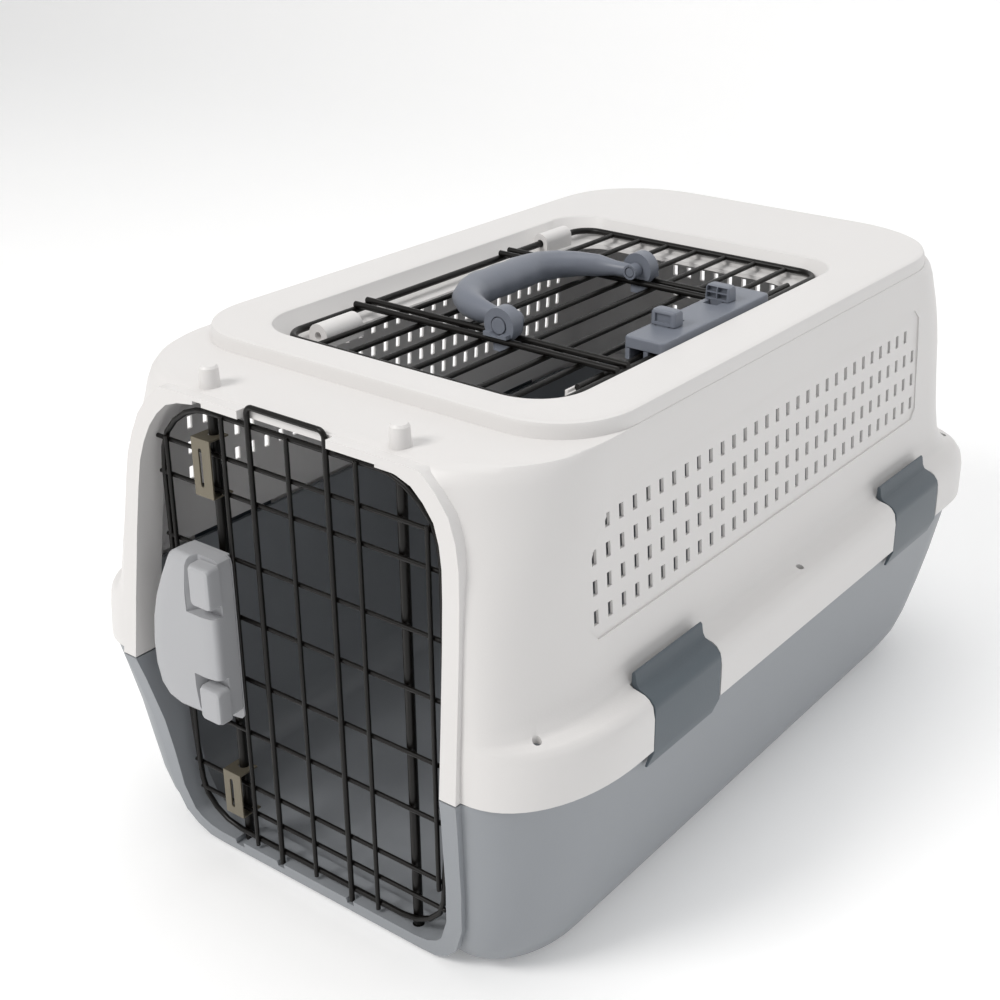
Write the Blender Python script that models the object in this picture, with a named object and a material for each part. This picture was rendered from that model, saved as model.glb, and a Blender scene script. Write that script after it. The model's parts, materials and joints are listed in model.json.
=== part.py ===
"""Pet transport carrier: two-piece plastic shell, front wire door, top wire door, folding handle.

Metres, +Z up, front door at -Y, origin at the bottom centre of the carrier.
"""
import math

import bmesh
import bpy
from mathutils import Vector

for old in list(bpy.data.objects):
    bpy.data.objects.remove(old, do_unlink=True)

# ---------------------------------------------------------------- driving dimensions
GAP = 0.0004            # clearance between neighbouring parts
WALL = 0.0025           # moulded wall of both shells
SEAM_Z = 0.1150         # height where the two shells meet at the front
LEDGE_Z = 0.2673        # front ledge that carries the two pegs

DOOR_Y = -0.2240        # plane of the front door's cross wires
BAR_Y = -0.2260         # plane of its upright wires, in front of the cross wires
ROD_Y = -0.2200         # hinge rod and latch rods, behind the cross wires
HINGE_X = 0.0650        # front door's hinge rod
LATCH_X = -0.0560       # front door's latch rods
WIRE_R = 0.00120
FRAME_R = 0.0015
ROD_R = 0.0025
CROSS_Z = (0.2365, 0.2175, 0.1825, 0.1500, 0.1143, 0.0818, 0.0470, 0.0307)
UPRIGHT_X = (-0.0433, 0.0, 0.0433)
LOOP_X = 0.0250         # half width of the long centre loop
SIDE_X = 0.0845
FRAME_X = 0.0905
FRAME_TOP, FRAME_BOTTOM = 0.2580, 0.0145
LATCH_TRAVEL = 0.0050

TOP_Z = 0.2682          # top door: frame wire
LONG_Z = 0.2678         # its lengthwise wires
PAIR_Z = 0.2710         # its cross wire pairs, welded on top
TOP_LEFT, TOP_RIGHT = -0.0850, 0.0880
TOP_FRONT, TOP_REAR = -0.1440, 0.1265
TOP_R = 0.0020
LONG_X = (-0.0610, -0.0400, -0.0190, 0.0020, 0.0230, 0.0440, 0.0650)
PAIR_Y = ((-0.0876, -0.0782), (0.0404, 0.0490))

PIVOT_X, PIVOT_Z = 0.0142, 0.2786
PIVOT_Y = (-0.0829, 0.0447)

CLIP_Y = (-0.1250, 0.1362)   # centres of the side clips
CLIP_W = 0.0600
VENT_PITCH_Y, VENT_PITCH_Z = 0.0112, 0.0150
VENT_Y0, VENT_COLUMNS = -0.1710, 31
VENT_Z0, VENT_ROWS = 0.1864, 4
VENT_W, VENT_H = 0.0036, 0.0075


# ---------------------------------------------------------------- materials
def material(name, colour, rough=0.5, metal=0.0):
    m = bpy.data.materials.new(name)
    m.use_nodes = True
    b = m.node_tree.nodes["Principled BSDF"]
    b.inputs["Base Color"].default_value = (*colour, 1.0)
    b.inputs["Roughness"].default_value = rough
    b.inputs["Metallic"].default_value = metal
    m.diffuse_color = (*colour, 1.0)
    return m


WHITE = material("shell_white_plastic", (0.72, 0.70, 0.67), 0.45)
GREY = material("tub_grey_plastic", (0.16, 0.18, 0.20), 0.45)
CLIP = material("clip_grey_plastic", (0.10, 0.12, 0.14), 0.45)
PALE = material("latch_pale_grey_plastic", (0.42, 0.43, 0.44), 0.45)
HANDLE = material("handle_grey_plastic", (0.22, 0.24, 0.28), 0.45)
BLACK = material("wire_black_coating", (0.012, 0.011, 0.010), 0.35)
BRONZE = material("guide_plate_steel", (0.16, 0.15, 0.11), 0.40, 0.6)
SPRING = material("spring_steel", (0.45, 0.45, 0.45), 0.30, 1.0)


# ---------------------------------------------------------------- mesh helpers
def obj(name, bm, mat=None):
    bmesh.ops.remove_doubles(bm, verts=bm.verts, dist=1e-6)
    bmesh.ops.recalc_face_normals(bm, faces=bm.faces)
    if bm.calc_volume(signed=True) < 0:
        bmesh.ops.reverse_faces(bm, faces=bm.faces)
    me = bpy.data.meshes.new(name)
    bm.to_mesh(me)
    bm.free()
    o = bpy.data.objects.new(name, me)
    bpy.context.scene.collection.objects.link(o)
    if mat:
        me.materials.append(mat)
    return o


def loft(rings, closed=False):
    """Skin rings of equal point count; caps the ends unless the rings close on themselves."""
    bm = bmesh.new()
    vs = [[bm.verts.new(p) for p in r] for r in rings]
    n = len(vs[0])
    pairs = list(zip(vs, vs[1:])) + ([(vs[-1], vs[0])] if closed else [])
    for a, b in pairs:
        for i in range(n):
            j = (i + 1) % n
            bm.faces.new((a[i], a[j], b[j], b[i]))
    if not closed:
        bm.faces.new(list(reversed(vs[0])))
        bm.faces.new(vs[-1])
    return bm


def plan_ring(z, hx, yf, yr, rxf, ryf, rxr, ryr, corner=6, side=4, e=2.15):
    """Plan outline of the carrier at height z: elliptical corners, straight sides."""
    def bend(a):
        return (max(0.0, math.sin(a)) ** (2 / e), max(0.0, math.cos(a)) ** (2 / e))

    half = []
    for i in range(corner + 1):
        s, c = bend(i / corner * math.pi / 2)
        half.append((hx - rxf + rxf * s, yf + ryf - ryf * c))
    y0, y1 = yf + ryf, yr - ryr
    half += [(hx, y0 + (y1 - y0) * k / side) for k in range(1, side)]
    for i in range(corner + 1):
        s, c = bend(i / corner * math.pi / 2)
        half.append((hx - rxr + rxr * c, yr - ryr + ryr * s))
    left = [(-x, y) for x, y in reversed(half)]
    return [(x, y, z) for x, y in half + left]


def prism(outline, lo, hi, axis="Y"):
    """Outline in the plane across the axis, pulled from lo to hi."""
    def at(p, t):
        return {"X": (t, p[0], p[1]), "Y": (p[0], t, p[1]), "Z": (p[0], p[1], t)}[axis]

    return loft([[at(p, lo) for p in outline], [at(p, hi) for p in outline]])


def box(x0, x1, y0, y1, z0, z1):
    return prism([(x0, y0), (x1, y0), (x1, y1), (x0, y1)], z0, z1, "Z")


def rounded(cx, cy, w, h, r, n=3):
    """Rounded rectangle outline."""
    pts = []
    for k, (sx, sy) in enumerate(((1, 1), (-1, 1), (-1, -1), (1, -1))):
        for i in range(n + 1):
            a = math.radians(90 * k + 90 * i / n)
            pts.append((cx + sx * (w / 2 - r) + r * math.cos(a), cy + sy * (h / 2 - r) + r * math.sin(a)))
    return pts


def circle(cx, cy, r, n=12):
    return [(cx + r * math.cos(2 * math.pi * i / n), cy + r * math.sin(2 * math.pi * i / n)) for i in range(n)]


def tube(points, r, n=8, closed=False, twist=None):
    """Round bar along a path of points."""
    pts = [Vector(p) for p in points]
    rings, up = [], None
    m = len(pts)
    for i, p in enumerate(pts):
        a = pts[i - 1] if (i or closed) else p
        b = pts[(i + 1) % m] if (i < m - 1 or closed) else p
        t = (b - a).normalized()
        if up is None:
            ref = Vector((0, 0, 1)) if abs(t.z) < 0.9 else Vector((0, 1, 0))
            up = (ref - t * ref.dot(t)).normalized()
        up = (up - t * up.dot(t)).normalized()
        side = t.cross(up)
        k = 1.0
        if (0 < i < m - 1) or closed:
            c = max(-1.0, min(1.0, (p - a).normalized().dot((b - p).normalized())))
            k = 1.0 / max(0.5, math.cos(math.acos(c) / 2))
        ring = []
        for j in range(n):
            w = 2 * math.pi * (j + 0.5) / n
            ring.append(p + up * math.cos(w) * r + side * math.sin(w) * r * k)
        rings.append(ring)
    return loft(rings, closed)


def arc(cx, cz, r, a0, a1, n=5):
    return [(cx + r * math.cos(math.radians(a0 + (a1 - a0) * i / n)),
             cz + r * math.sin(math.radians(a0 + (a1 - a0) * i / n))) for i in range(n + 1)]


def boolean(target, bms, operation, use_self=False):
    """Union or cut a list of meshes with the target in one exact operation."""
    cutters = [obj("cutter", b) for b in bms]
    for c in cutters:
        c.hide_render = True
        c.display_type = "WIRE"
    col = bpy.data.collections.new("cutters")
    for c in cutters:
        col.objects.link(c)
    mod = target.modifiers.new("bool", "BOOLEAN")
    mod.operation = operation
    mod.solver = "EXACT"
    mod.operand_type = "COLLECTION"
    mod.collection = col
    mod.use_self = use_self
    dg = bpy.context.evaluated_depsgraph_get()
    dg.update()
    me = bpy.data.meshes.new_from_object(target.evaluated_get(dg))
    target.modifiers.clear()
    old = target.data
    target.data = me
    bpy.data.meshes.remove(old)
    for c in cutters:
        data = c.data
        bpy.data.objects.remove(c, do_unlink=True)
        bpy.data.meshes.remove(data)
    bpy.data.collections.remove(col)
    return target


def tidy(o, mat):
    """Weld, drop slivers and give the part its one material."""
    bm = bmesh.new()
    bm.from_mesh(o.data)
    bmesh.ops.remove_doubles(bm, verts=bm.verts, dist=2e-6)
    bmesh.ops.dissolve_degenerate(bm, edges=bm.edges, dist=2e-6)
    bmesh.ops.recalc_face_normals(bm, faces=bm.faces)
    bm.to_mesh(o.data)
    bm.free()
    o.data.materials.clear()
    o.data.materials.append(mat)
    for p in o.data.polygons:
        p.material_index = 0
    return o


def union(name, bms, mat):
    o = obj(name, bms[0], mat)
    if len(bms) > 1:
        boolean(o, bms[1:], "UNION")
    return tidy(o, mat)


def lerp(table, z):
    """Straight-line reading of a table of (z, value)."""
    for (z0, v0), (z1, v1) in zip(table, table[1:]):
        if z <= z1:
            return v0 + (v1 - v0) * max(0.0, z - z0) / (z1 - z0)
    return table[-1][1]


# ---------------------------------------------------------------- doorway outline
FACE = ((0.0, -0.2262), (0.0095, -0.2280), (0.0180, -0.2295), (0.0320, -0.2311), (0.0550, -0.2334),
        (0.0750, -0.2363), (0.1010, -0.2418), (0.1150, -0.2453), (0.1226, -0.2449), (0.1482, -0.2417),
        (0.1869, -0.2373), (0.2247, -0.2328), (0.2440, -0.2299), (0.2575, -0.2293), (0.2740, -0.2285))
DOORWAY_TOP = ((0.1150, 0.1034), (0.1482, 0.1023), (0.1869, 0.1007), (0.2100, 0.0993), (0.2247, 0.0979),
               (0.2347, 0.0954), (0.2439, 0.0915), (0.2515, 0.0855), (0.2575, 0.0786), (0.2605, 0.0700),
               (0.2622, 0.0590))
DOORWAY_LOW = ((0.0095, 0.0700), (0.0108, 0.0780), (0.0140, 0.0840), (0.0180, 0.0880), (0.0318, 0.0931),
               (0.0549, 0.0953), (0.0748, 0.0970), (0.1009, 0.1010), (0.1150, 0.1034))


def doorway(out=0.0):
    """Closed doorway outline, right side going up, grown outward by out."""
    right = [(x, z) for z, x in DOORWAY_LOW[:-1]] + [(x, z) for z, x in DOORWAY_TOP]
    loop = right + [(-x, z) for x, z in reversed(right)]
    if not out:
        return loop
    grown, n = [], len(loop)
    for i in range(n):
        a, b = Vector(loop[i - 1]), Vector(loop[(i + 1) % n])
        t = (b - a).normalized()
        grown.append((loop[i][0] + t.y * out, min(0.2664, max(0.0012, loop[i][1] - t.x * out))))
    return grown


def doorway_band(inner, outer, y_front, depth, keep):
    """Ring-shaped wall around the doorway between two offsets; keep picks the points by height."""
    bm = bmesh.new()
    a, b = doorway(inner), doorway(outer)
    idx = [i for i in range(len(a)) if keep(doorway()[i][1])]
    whole = len(idx) == len(a)
    if not whole:
        cut = next((k for k in range(1, len(idx)) if idx[k] - idx[k - 1] != 1), 0)
        idx = idx[cut:] + idx[:cut]
    rows = []
    for i in idx:
        fa, fb = lerp(FACE, a[i][1]) + y_front, lerp(FACE, b[i][1]) + y_front
        rows.append([bm.verts.new(p) for p in ((a[i][0], fa, a[i][1]), (b[i][0], fb, b[i][1]),
                                               (b[i][0], fb + depth, b[i][1]), (a[i][0], fa + depth, a[i][1]))])
    steps = list(zip(rows, rows[1:])) + ([(rows[-1], rows[0])] if whole else [])
    for p, q in steps:
        for k in range(4):
            j = (k + 1) % 4
            bm.faces.new((p[k], p[j], q[j], q[k]))
    if not whole:
        bm.faces.new(rows[0])
        bm.faces.new(list(reversed(rows[-1])))
    return bm


# ---------------------------------------------------------------- bottom shell
# z, half width, front y, rear y, corner radii: front x, front y, rear x, rear y
TUB_OUT = (
    (0.0000, 0.1180, -0.2080, 0.2000, 0.030, 0.040, 0.030, 0.040),
    (0.0012, 0.1225, -0.2130, 0.2060, 0.032, 0.045, 0.032, 0.045),
    (0.0050, 0.1262, -0.2190, 0.2120, 0.033, 0.050, 0.034, 0.048),
    (0.0100, 0.1295, -0.2230, 0.2150, 0.033, 0.054, 0.035, 0.049),
    (0.0190, 0.1345, -0.2262, 0.2180, 0.034, 0.058, 0.036, 0.050),
    (0.0320, 0.1390, -0.2280, 0.2215, 0.034, 0.061, 0.038, 0.052),
    (0.0540, 0.1440, -0.2303, 0.2280, 0.036, 0.063, 0.040, 0.054),
    (0.0750, 0.1482, -0.2331, 0.2322, 0.039, 0.066, 0.042, 0.054),
    (0.1010, 0.1525, -0.2386, 0.2375, 0.042, 0.070, 0.044, 0.055),
    (0.1120, 0.1545, -0.2412, 0.2395, 0.044, 0.071, 0.045, 0.055),
    (0.1148, 0.1545, -0.2415, 0.2395, 0.044, 0.071, 0.045, 0.055),
    (0.1150, 0.1538, -0.2372, 0.2390, 0.043, 0.071, 0.045, 0.055),
    (0.1350, 0.1538, -0.2360, 0.2390, 0.043, 0.071, 0.045, 0.055),
)
TUB_IN = (
    (0.1350, 0.1513, -0.2335, 0.2365, 0.041, 0.069, 0.043, 0.053),
    (0.1120, 0.1513, -0.2340, 0.2365, 0.041, 0.069, 0.043, 0.053),
    (0.0750, 0.1457, -0.2306, 0.2297, 0.037, 0.064, 0.040, 0.052),
    (0.0540, 0.1415, -0.2278, 0.2255, 0.034, 0.061, 0.038, 0.052),
    (0.0190, 0.1320, -0.2237, 0.2155, 0.032, 0.056, 0.034, 0.048),
    (0.0100, 0.1270, -0.2205, 0.2125, 0.031, 0.052, 0.033, 0.047),
    (0.0048, 0.1215, -0.2140, 0.2070, 0.030, 0.046, 0.031, 0.044),
    (0.0028, 0.1140, -0.2050, 0.1980, 0.028, 0.038, 0.028, 0.038),
)
tub = obj("bottom_shell", loft([plan_ring(*r) for r in TUB_OUT + TUB_IN]), GREY)
STRIP = 0.0095          # width of the raised strip round the doorway
boolean(tub, [prism(doorway(0.0015), -0.30, -0.205)], "DIFFERENCE")
boolean(tub, [doorway_band(0.0, STRIP, 0.0, 0.0170, lambda z: z < SEAM_Z + 0.0001)], "UNION")
boolean(tub, [
    box(-0.1150, 0.1150, -0.30, -0.2150, SEAM_Z - GAP, 0.20),
    prism(circle(HINGE_X, ROD_Y, ROD_R + 0.0006), 0.0062, 0.0300, "Z"),
    box(LATCH_X - 0.0031, LATCH_X + 0.0031, -0.2500, ROD_Y + 0.0031, 0.0062, 0.0300),
] + [box(s * LOOP_X - 0.0024, s * LOOP_X + 0.0024, -0.26, BAR_Y + 0.0030, 0.0062, 0.0200) for s in (-1, 1)],
    "DIFFERENCE")
tidy(tub, GREY)

# ---------------------------------------------------------------- top shell
TOP_OUT = (
    (0.1155, 0.1600, -0.2417, 0.2453, 0.0465, 0.0745, 0.050, 0.058),
    (0.1330, 0.1600, -0.2404, 0.2453, 0.0465, 0.0745, 0.050, 0.058),
    (0.1395, 0.1588, -0.2398, 0.2444, 0.0455, 0.0742, 0.049, 0.057),
    (0.1425, 0.1565, -0.2395, 0.2430, 0.0435, 0.0735, 0.047, 0.056),
    (0.1440, 0.1540, -0.2393, 0.2412, 0.0410, 0.0728, 0.045, 0.054),
    (0.1455, 0.1475, -0.2391, 0.2392, 0.0350, 0.0712, 0.043, 0.050),
    (0.1475, 0.1440, -0.2389, 0.2380, 0.0320, 0.0700, 0.041, 0.047),
    (0.1540, 0.1405, -0.2382, 0.2368, 0.0295, 0.0690, 0.040, 0.045),
    (0.1690, 0.1385, -0.2367, 0.2360, 0.0290, 0.0680, 0.040, 0.045),
    (0.1940, 0.1365, -0.2342, 0.2352, 0.0310, 0.0680, 0.040, 0.045),
    (0.2120, 0.1358, -0.2321, 0.2345, 0.0350, 0.0680, 0.041, 0.046),
    (0.2260, 0.1350, -0.2303, 0.2340, 0.0410, 0.0680, 0.043, 0.048),
    (0.2400, 0.1340, -0.2285, 0.2334, 0.0490, 0.0680, 0.047, 0.051),
    (0.2520, 0.1327, -0.2276, 0.2326, 0.0565, 0.0685, 0.052, 0.054),
    (0.2590, 0.1321, -0.2270, 0.2320, 0.0600, 0.0690, 0.055, 0.056),
    (0.2640, 0.1314, -0.2253, 0.2312, 0.0620, 0.0690, 0.058, 0.058),
    (0.2668, 0.1309, -0.2222, 0.2306, 0.0630, 0.0680, 0.062, 0.061),
    (0.2675, 0.1306, -0.2170, 0.2304, 0.0620, 0.0650, 0.068, 0.064),
    (0.2675, 0.1303, -0.1768, 0.2301, 0.0440, 0.0460, 0.069, 0.065),
    (0.2725, 0.1299, -0.1762, 0.2297, 0.0440, 0.0460, 0.069, 0.065),
    (0.2746, 0.1290, -0.1753, 0.2288, 0.0430, 0.0450, 0.068, 0.064),
    (0.2755, 0.1268, -0.1731, 0.2266, 0.0415, 0.0430, 0.066, 0.062),
    (0.2755, 0.0995, -0.1565, 0.1360, 0.0310, 0.0310, 0.027, 0.027),
    (0.2747, 0.0978, -0.1548, 0.1343, 0.0300, 0.0300, 0.0255, 0.0255),
    (0.2690, 0.0945, -0.1520, 0.1312, 0.0280, 0.0280, 0.024, 0.024),
    (0.2650, 0.0905, -0.1490, 0.1280, 0.0260, 0.0260, 0.022, 0.022),
    (0.2632, 0.0880, -0.1470, 0.1260, 0.0250, 0.0250, 0.021, 0.021),
    (0.2625, 0.0775, -0.1405, 0.1185, 0.0200, 0.0200, 0.020, 0.020),
)
TOP_IN = (
    (0.2602, 0.0765, -0.1400, 0.1180, 0.0200, 0.0200, 0.020, 0.020),
    (0.2605, 0.0885, -0.1475, 0.1265, 0.0250, 0.0250, 0.021, 0.021),
    (0.2640, 0.0940, -0.1515, 0.1308, 0.0280, 0.0280, 0.024, 0.024),
    (0.2730, 0.0990, -0.1560, 0.1355, 0.0310, 0.0310, 0.027, 0.027),
    (0.2730, 0.1262, -0.1725, 0.2260, 0.0410, 0.0430, 0.066, 0.062),
    (0.2650, 0.1276, -0.1738, 0.2274, 0.0415, 0.0435, 0.066, 0.062),
    (0.2647, 0.1284, -0.2170, 0.2282, 0.0600, 0.0630, 0.062, 0.060),
    (0.2600, 0.1297, -0.2232, 0.2296, 0.0590, 0.0670, 0.053, 0.054),
    (0.2400, 0.1315, -0.2260, 0.2309, 0.0470, 0.0660, 0.046, 0.050),
    (0.2120, 0.1333, -0.2296, 0.2320, 0.0330, 0.0660, 0.040, 0.045),
    (0.1690, 0.1360, -0.2342, 0.2335, 0.0270, 0.0660, 0.038, 0.044),
    (0.1540, 0.1378, -0.2357, 0.2343, 0.0275, 0.0670, 0.038, 0.044),
    (0.1445, 0.1420, -0.2366, 0.2360, 0.0305, 0.0680, 0.039, 0.046),
    (0.1422, 0.1480, -0.2368, 0.2385, 0.0360, 0.0700, 0.041, 0.049),
    (0.1405, 0.1545, -0.2372, 0.2410, 0.0420, 0.0715, 0.045, 0.054),
    (0.1370, 0.1570, -0.2376, 0.2427, 0.0440, 0.0725, 0.048, 0.056),
    (0.1155, 0.1572, -0.2390, 0.2427, 0.0442, 0.0727, 0.048, 0.056),
)
top = obj("top_shell", loft([plan_ring(*r) for r in TOP_OUT + TOP_IN], closed=True), WHITE)

# return wall of the doorway, pegs, hinge bosses, catches and the hinge rod's upper socket
CATCH_Y = (-0.1010, 0.0915)
BOLT_X, BOLT_Z, BOLT_R = 0.0805, 0.2668, 0.0018
boolean(top, [prism(doorway(0.0015), -0.30, -0.205)], "DIFFERENCE")
boolean(top, [doorway_band(0.0, STRIP, 0.0, 0.0165, lambda z: z > SEAM_Z - 0.0001)], "UNION")
boolean(top, [box(-0.1250, 0.1250, -0.30, -0.2100, 0.05, SEAM_Z + 0.0005)], "DIFFERENCE")


def peg(cx, cy):
    return loft([[(*p, z) for p in circle(cx, cy, r, 14)]
                 for z, r in ((LEDGE_Z - 0.0015, 0.0053), (0.2770, 0.0047), (0.2782, 0.0037))])


hinge_front = prism([(-0.0785, 0.2612), (-0.0655, 0.2612), (-0.0655, 0.2672)] +
                    arc(-0.0720, 0.2672, 0.0065, 0, 180, 8)[1:], -0.1310, -0.1035, "Y")
hinge_rear = prism([(-0.0925, 0.2612), (-0.0796, 0.2612), (-0.0796, 0.2690)] +
                   arc(-0.0850, 0.2690, 0.0054, 0, 180, 8)[1:], 0.0800, 0.1060, "Y")
catch_boxes = [box(0.0755, 0.0895, y - 0.0120, y + 0.0120, 0.2612, 0.2656) for y in CATCH_Y]
boolean(top, [peg(s * 0.0610, -0.2155) for s in (-1, 1)] + catch_boxes, "UNION")
boolean(top, [hinge_front, hinge_rear,
              prism([(-0.2130, 0.2604), (-0.2284, 0.2604), (-0.2284, 0.2636), (-0.2130, 0.2636)],
                    HINGE_X - 0.0080, HINGE_X + 0.0080, "X")], "UNION")

clip_cut = [box(*sorted((s * 0.1452, s * 0.20)), y - CLIP_W / 2 - 0.0006, y + CLIP_W / 2 + 0.0006, 0.10, 0.1600)
            for s in (-1, 1) for y in CLIP_Y]
bolt_cut = [box(BOLT_X - 0.0035, BOLT_X + 0.0035, y - 0.02, y + 0.02, BOLT_Z - BOLT_R - 0.0006, 0.2745)
            for y in CATCH_Y]
misc_cut = [
    prism(circle(TOP_LEFT, TOP_Z, TOP_R + 0.0005, 12), 0.0700, 0.1200, "Y"),
    prism(circle(-0.0720, 0.2672, 0.0022, 10), -0.1400, -0.1270, "Y"),
    prism(circle(HINGE_X, ROD_Y, ROD_R + 0.0006), 0.2500, 0.2634, "Z"),
    box(LATCH_X - 0.0031, LATCH_X + 0.0031, -0.2500, ROD_Y + 0.0031, 0.2500, 0.2642),
    box(-LOOP_X - 0.0035, LOOP_X + 0.0035, -0.2600, BAR_Y + 0.0018, 0.2500, 0.2800),
]
boolean(top, misc_cut + bolt_cut, "DIFFERENCE")
boolean(top, clip_cut, "DIFFERENCE")
screw_cut = [prism(circle(s * x, y, 0.0022, 12), 0.1250, 0.1600, "Z")
             for s in (-1, 1) for x, y in ((0.1380, -0.2180), (0.1505, 0.0025), (0.1364, 0.2252))]
boolean(top, screw_cut, "DIFFERENCE")


def vents():
    cut = []
    for r in range(VENT_ROWS):
        z = VENT_Z0 + r * VENT_PITCH_Z
        for c in range(VENT_COLUMNS):
            if r == VENT_ROWS - 1 and c in (0, VENT_COLUMNS - 1):
                continue
            y = VENT_Y0 + c * VENT_PITCH_Y
            for s in (-1, 1):
                cut.append(box(*sorted((s * 0.120, s * 0.150)), y - VENT_W / 2, y + VENT_W / 2,
                               z - VENT_H / 2, z + VENT_H / 2))
        for c in range(-7, 8):
            x = c * VENT_PITCH_Y
            cut.append(box(x - VENT_W / 2, x + VENT_W / 2, 0.2150, 0.2450, z - VENT_H / 2, z + VENT_H / 2))
    return cut


def vent_panel(side, depth=0.0009):
    """Shallow recess round the side vents, its top front corner drawn as a wide arch."""
    low, high = 0.1755, 0.2455
    outline = [(-0.1770, low + 0.006), (-0.1710, low), (0.1650, low), (0.1710, low + 0.006), (0.1710, high - 0.006),
               (0.1650, high), (-0.1250, high)]
    outline += [(-0.1250 - 0.0520 * math.sin(a), high - 0.0420 * (1 - math.cos(a)))
                for a in [math.radians(15 * k) for k in range(1, 7)]]

    def wall(z):
        return 0.1379 - (z - 0.1755) * (0.1379 - 0.1337) / (0.2455 - 0.1755)

    inner = [(side * (wall(z) - depth), y, z) for y, z in outline]
    outer = [(side * 0.160, y + (0.004 if y > 0 else -0.004) * 0.0, z) for y, z in outline]
    return loft([inner, outer])


boolean(top, [vent_panel(-1), vent_panel(1)], "DIFFERENCE")


boolean(top, vents(), "DIFFERENCE")
tidy(top, WHITE)


# ---------------------------------------------------------------- side clips
# profile across the wall: distance from the centre plane and height, going round the clip
CLIP_PROFILE = (
    (0.1560, 0.1040), (0.1600, 0.1140), (0.1600, 0.1370), (0.1592, 0.1400), (0.1568, 0.1428), (0.1530, 0.1446),
    (0.1500, 0.1458), (0.1488, 0.1480), (0.1480, 0.1528), (0.1470, 0.1540), (0.1458, 0.1528), (0.1456, 0.1470),
    (0.1470, 0.1440), (0.1520, 0.1424), (0.1552, 0.1404), (0.1572, 0.1368), (0.1573, 0.1140), (0.1546, 0.1040),
)


def clip(name, side, yc):
    o = obj(name, prism([(side * x, z) for x, z in CLIP_PROFILE], yc - CLIP_W / 2, yc + CLIP_W / 2), CLIP)
    return tidy(o, CLIP)


clips = {}
for key, yc in (("front", CLIP_Y[0]), ("rear", CLIP_Y[1])):
    for side, word in ((-1, "left"), (1, "right")):
        clips[key, word] = clip(f"clip_{key}_{word}", side, yc)

# ---------------------------------------------------------------- front door
def upright(x, z0, z1, y=BAR_Y, r=WIRE_R):
    return tube([(x, y, z0), (x, y, z1)], r)


def cross(z, x0, x1, y=DOOR_Y, r=WIRE_R):
    return tube([(x0, y, z), (x1, y, z)], r)


def door_frame():
    """Closed frame wire following the doorway, with wide top corners."""
    half = [(0.0580, 0.0145), (0.0680, 0.0162), (0.0765, 0.0207), (0.0830, 0.0275), (0.0858, 0.0360),
            (0.0885, 0.0700), (FRAME_X, 0.1200), (FRAME_X, 0.2200), (0.0893, 0.2310), (0.0855, 0.2405),
            (0.0790, 0.2480), (0.0705, 0.2540), (0.0620, 0.2572), (0.0560, 0.2580)]
    pts = half + [(-x, z) for x, z in reversed(half)]
    return tube([(x, DOOR_Y, z) for x, z in pts], FRAME_R, closed=True)


def loop_wire():
    """Long centre loop, its top standing in the notch of the doorway's edge."""
    r, top_z = 0.0036, 0.2686
    pts = [(-LOOP_X, 0.0080)] + [(x, z) for x, z in arc(-LOOP_X + r, top_z - r, r, 180, 90, 4)]
    return tube([(x, BAR_Y, z) for x, z in pts + [(-x, z) for x, z in reversed(pts)]], 0.00145)


wires = [door_frame(), loop_wire()]
for z in CROSS_Z:
    half = 0.0932 if z > 0.06 else (0.0895 if z > 0.04 else 0.0868)
    wires.append(cross(z, -half, half))
for x in UPRIGHT_X:
    wires.append(upright(x, FRAME_BOTTOM - 0.0030, FRAME_TOP + 0.0010))
for x in (-SIDE_X, SIDE_X):
    wires.append(upright(x, 0.0430, 0.2390))
front_grid = union("front_door_grid", wires, BLACK)

hinge_rod = tidy(obj("front_door_hinge_rod",
                     tube([(HINGE_X, ROD_Y, 0.0070), (HINGE_X, ROD_Y, 0.2626)], ROD_R, 10), BLACK), BLACK)


def guide(name, z0, z1):
    """Stamped bracket whose two flanges keep the latch rod on the door, with a slot in its face."""
    w, t, face, back = 0.0130, 0.0010, -0.2292, -0.2166
    side = [(face, z0), (back, z0), (back, z0 + t), (face + t, z0 + t), (face + t, z1 - t), (back, z1 - t),
            (back, z1), (face, z1)]
    o = obj(name, prism(side, LATCH_X - w / 2, LATCH_X + w / 2, "X"), BRONZE)
    zc = (z0 + z1) / 2
    boolean(o, [prism(rounded(LATCH_X - 0.0008, zc, 0.0022, (z1 - z0) * 0.66, 0.0010, 2), face - 0.002, face + 0.002),
                prism(circle(LATCH_X, ROD_Y, ROD_R + 0.0005), z0 - 0.01, z1 + 0.01, "Z")], "DIFFERENCE")
    return tidy(o, BRONZE)


guide_up = guide("front_guide_plate_upper", 0.2145, 0.2455)
guide_lo = guide("front_guide_plate_lower", 0.0275, 0.0545)

# ---------------------------------------------------------------- front latch
COVER = ((-0.0420, 0.1000), (-0.0420, 0.1820), (-0.0428, 0.1852), (-0.0455, 0.1866), (-0.0700, 0.1866),
         (-0.0738, 0.1845), (-0.0795, 0.1720), (-0.0848, 0.1590), (-0.0885, 0.1450), (-0.0908, 0.1290),
         (-0.0911, 0.1150), (-0.0890, 0.1035), (-0.0840, 0.0972), (-0.0758, 0.0948), (-0.0650, 0.0952),
         (-0.0560, 0.0962), (-0.0480, 0.0968), (-0.0440, 0.0976))
PLATE_DROP = 0.0055     # the back plate reaches lower than the cover behind the lower button
COVER_C = (-0.0640, 0.1410)
BACK = -0.2290          # back face of the cover, resting on its back plate
FRONT = -0.2442
POCKET = -0.2366        # floor of the two finger pockets


def cover_ring(k, y, drop=0.0, low=0.0):
    """Cover outline drawn in towards its middle by k, leaning with the crown of the face."""
    cx, cz = COVER_C
    ring = []
    for x, z in COVER:
        px, pz = cx + (x - cx) * (1 - k), cz + (z - cz) * (1 - k)
        if low and x > -0.0600 and z < 0.1100:
            pz -= low
        ring.append((px, y + drop * ((pz - cz) / 0.051) ** 2, pz))
    return ring


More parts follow.
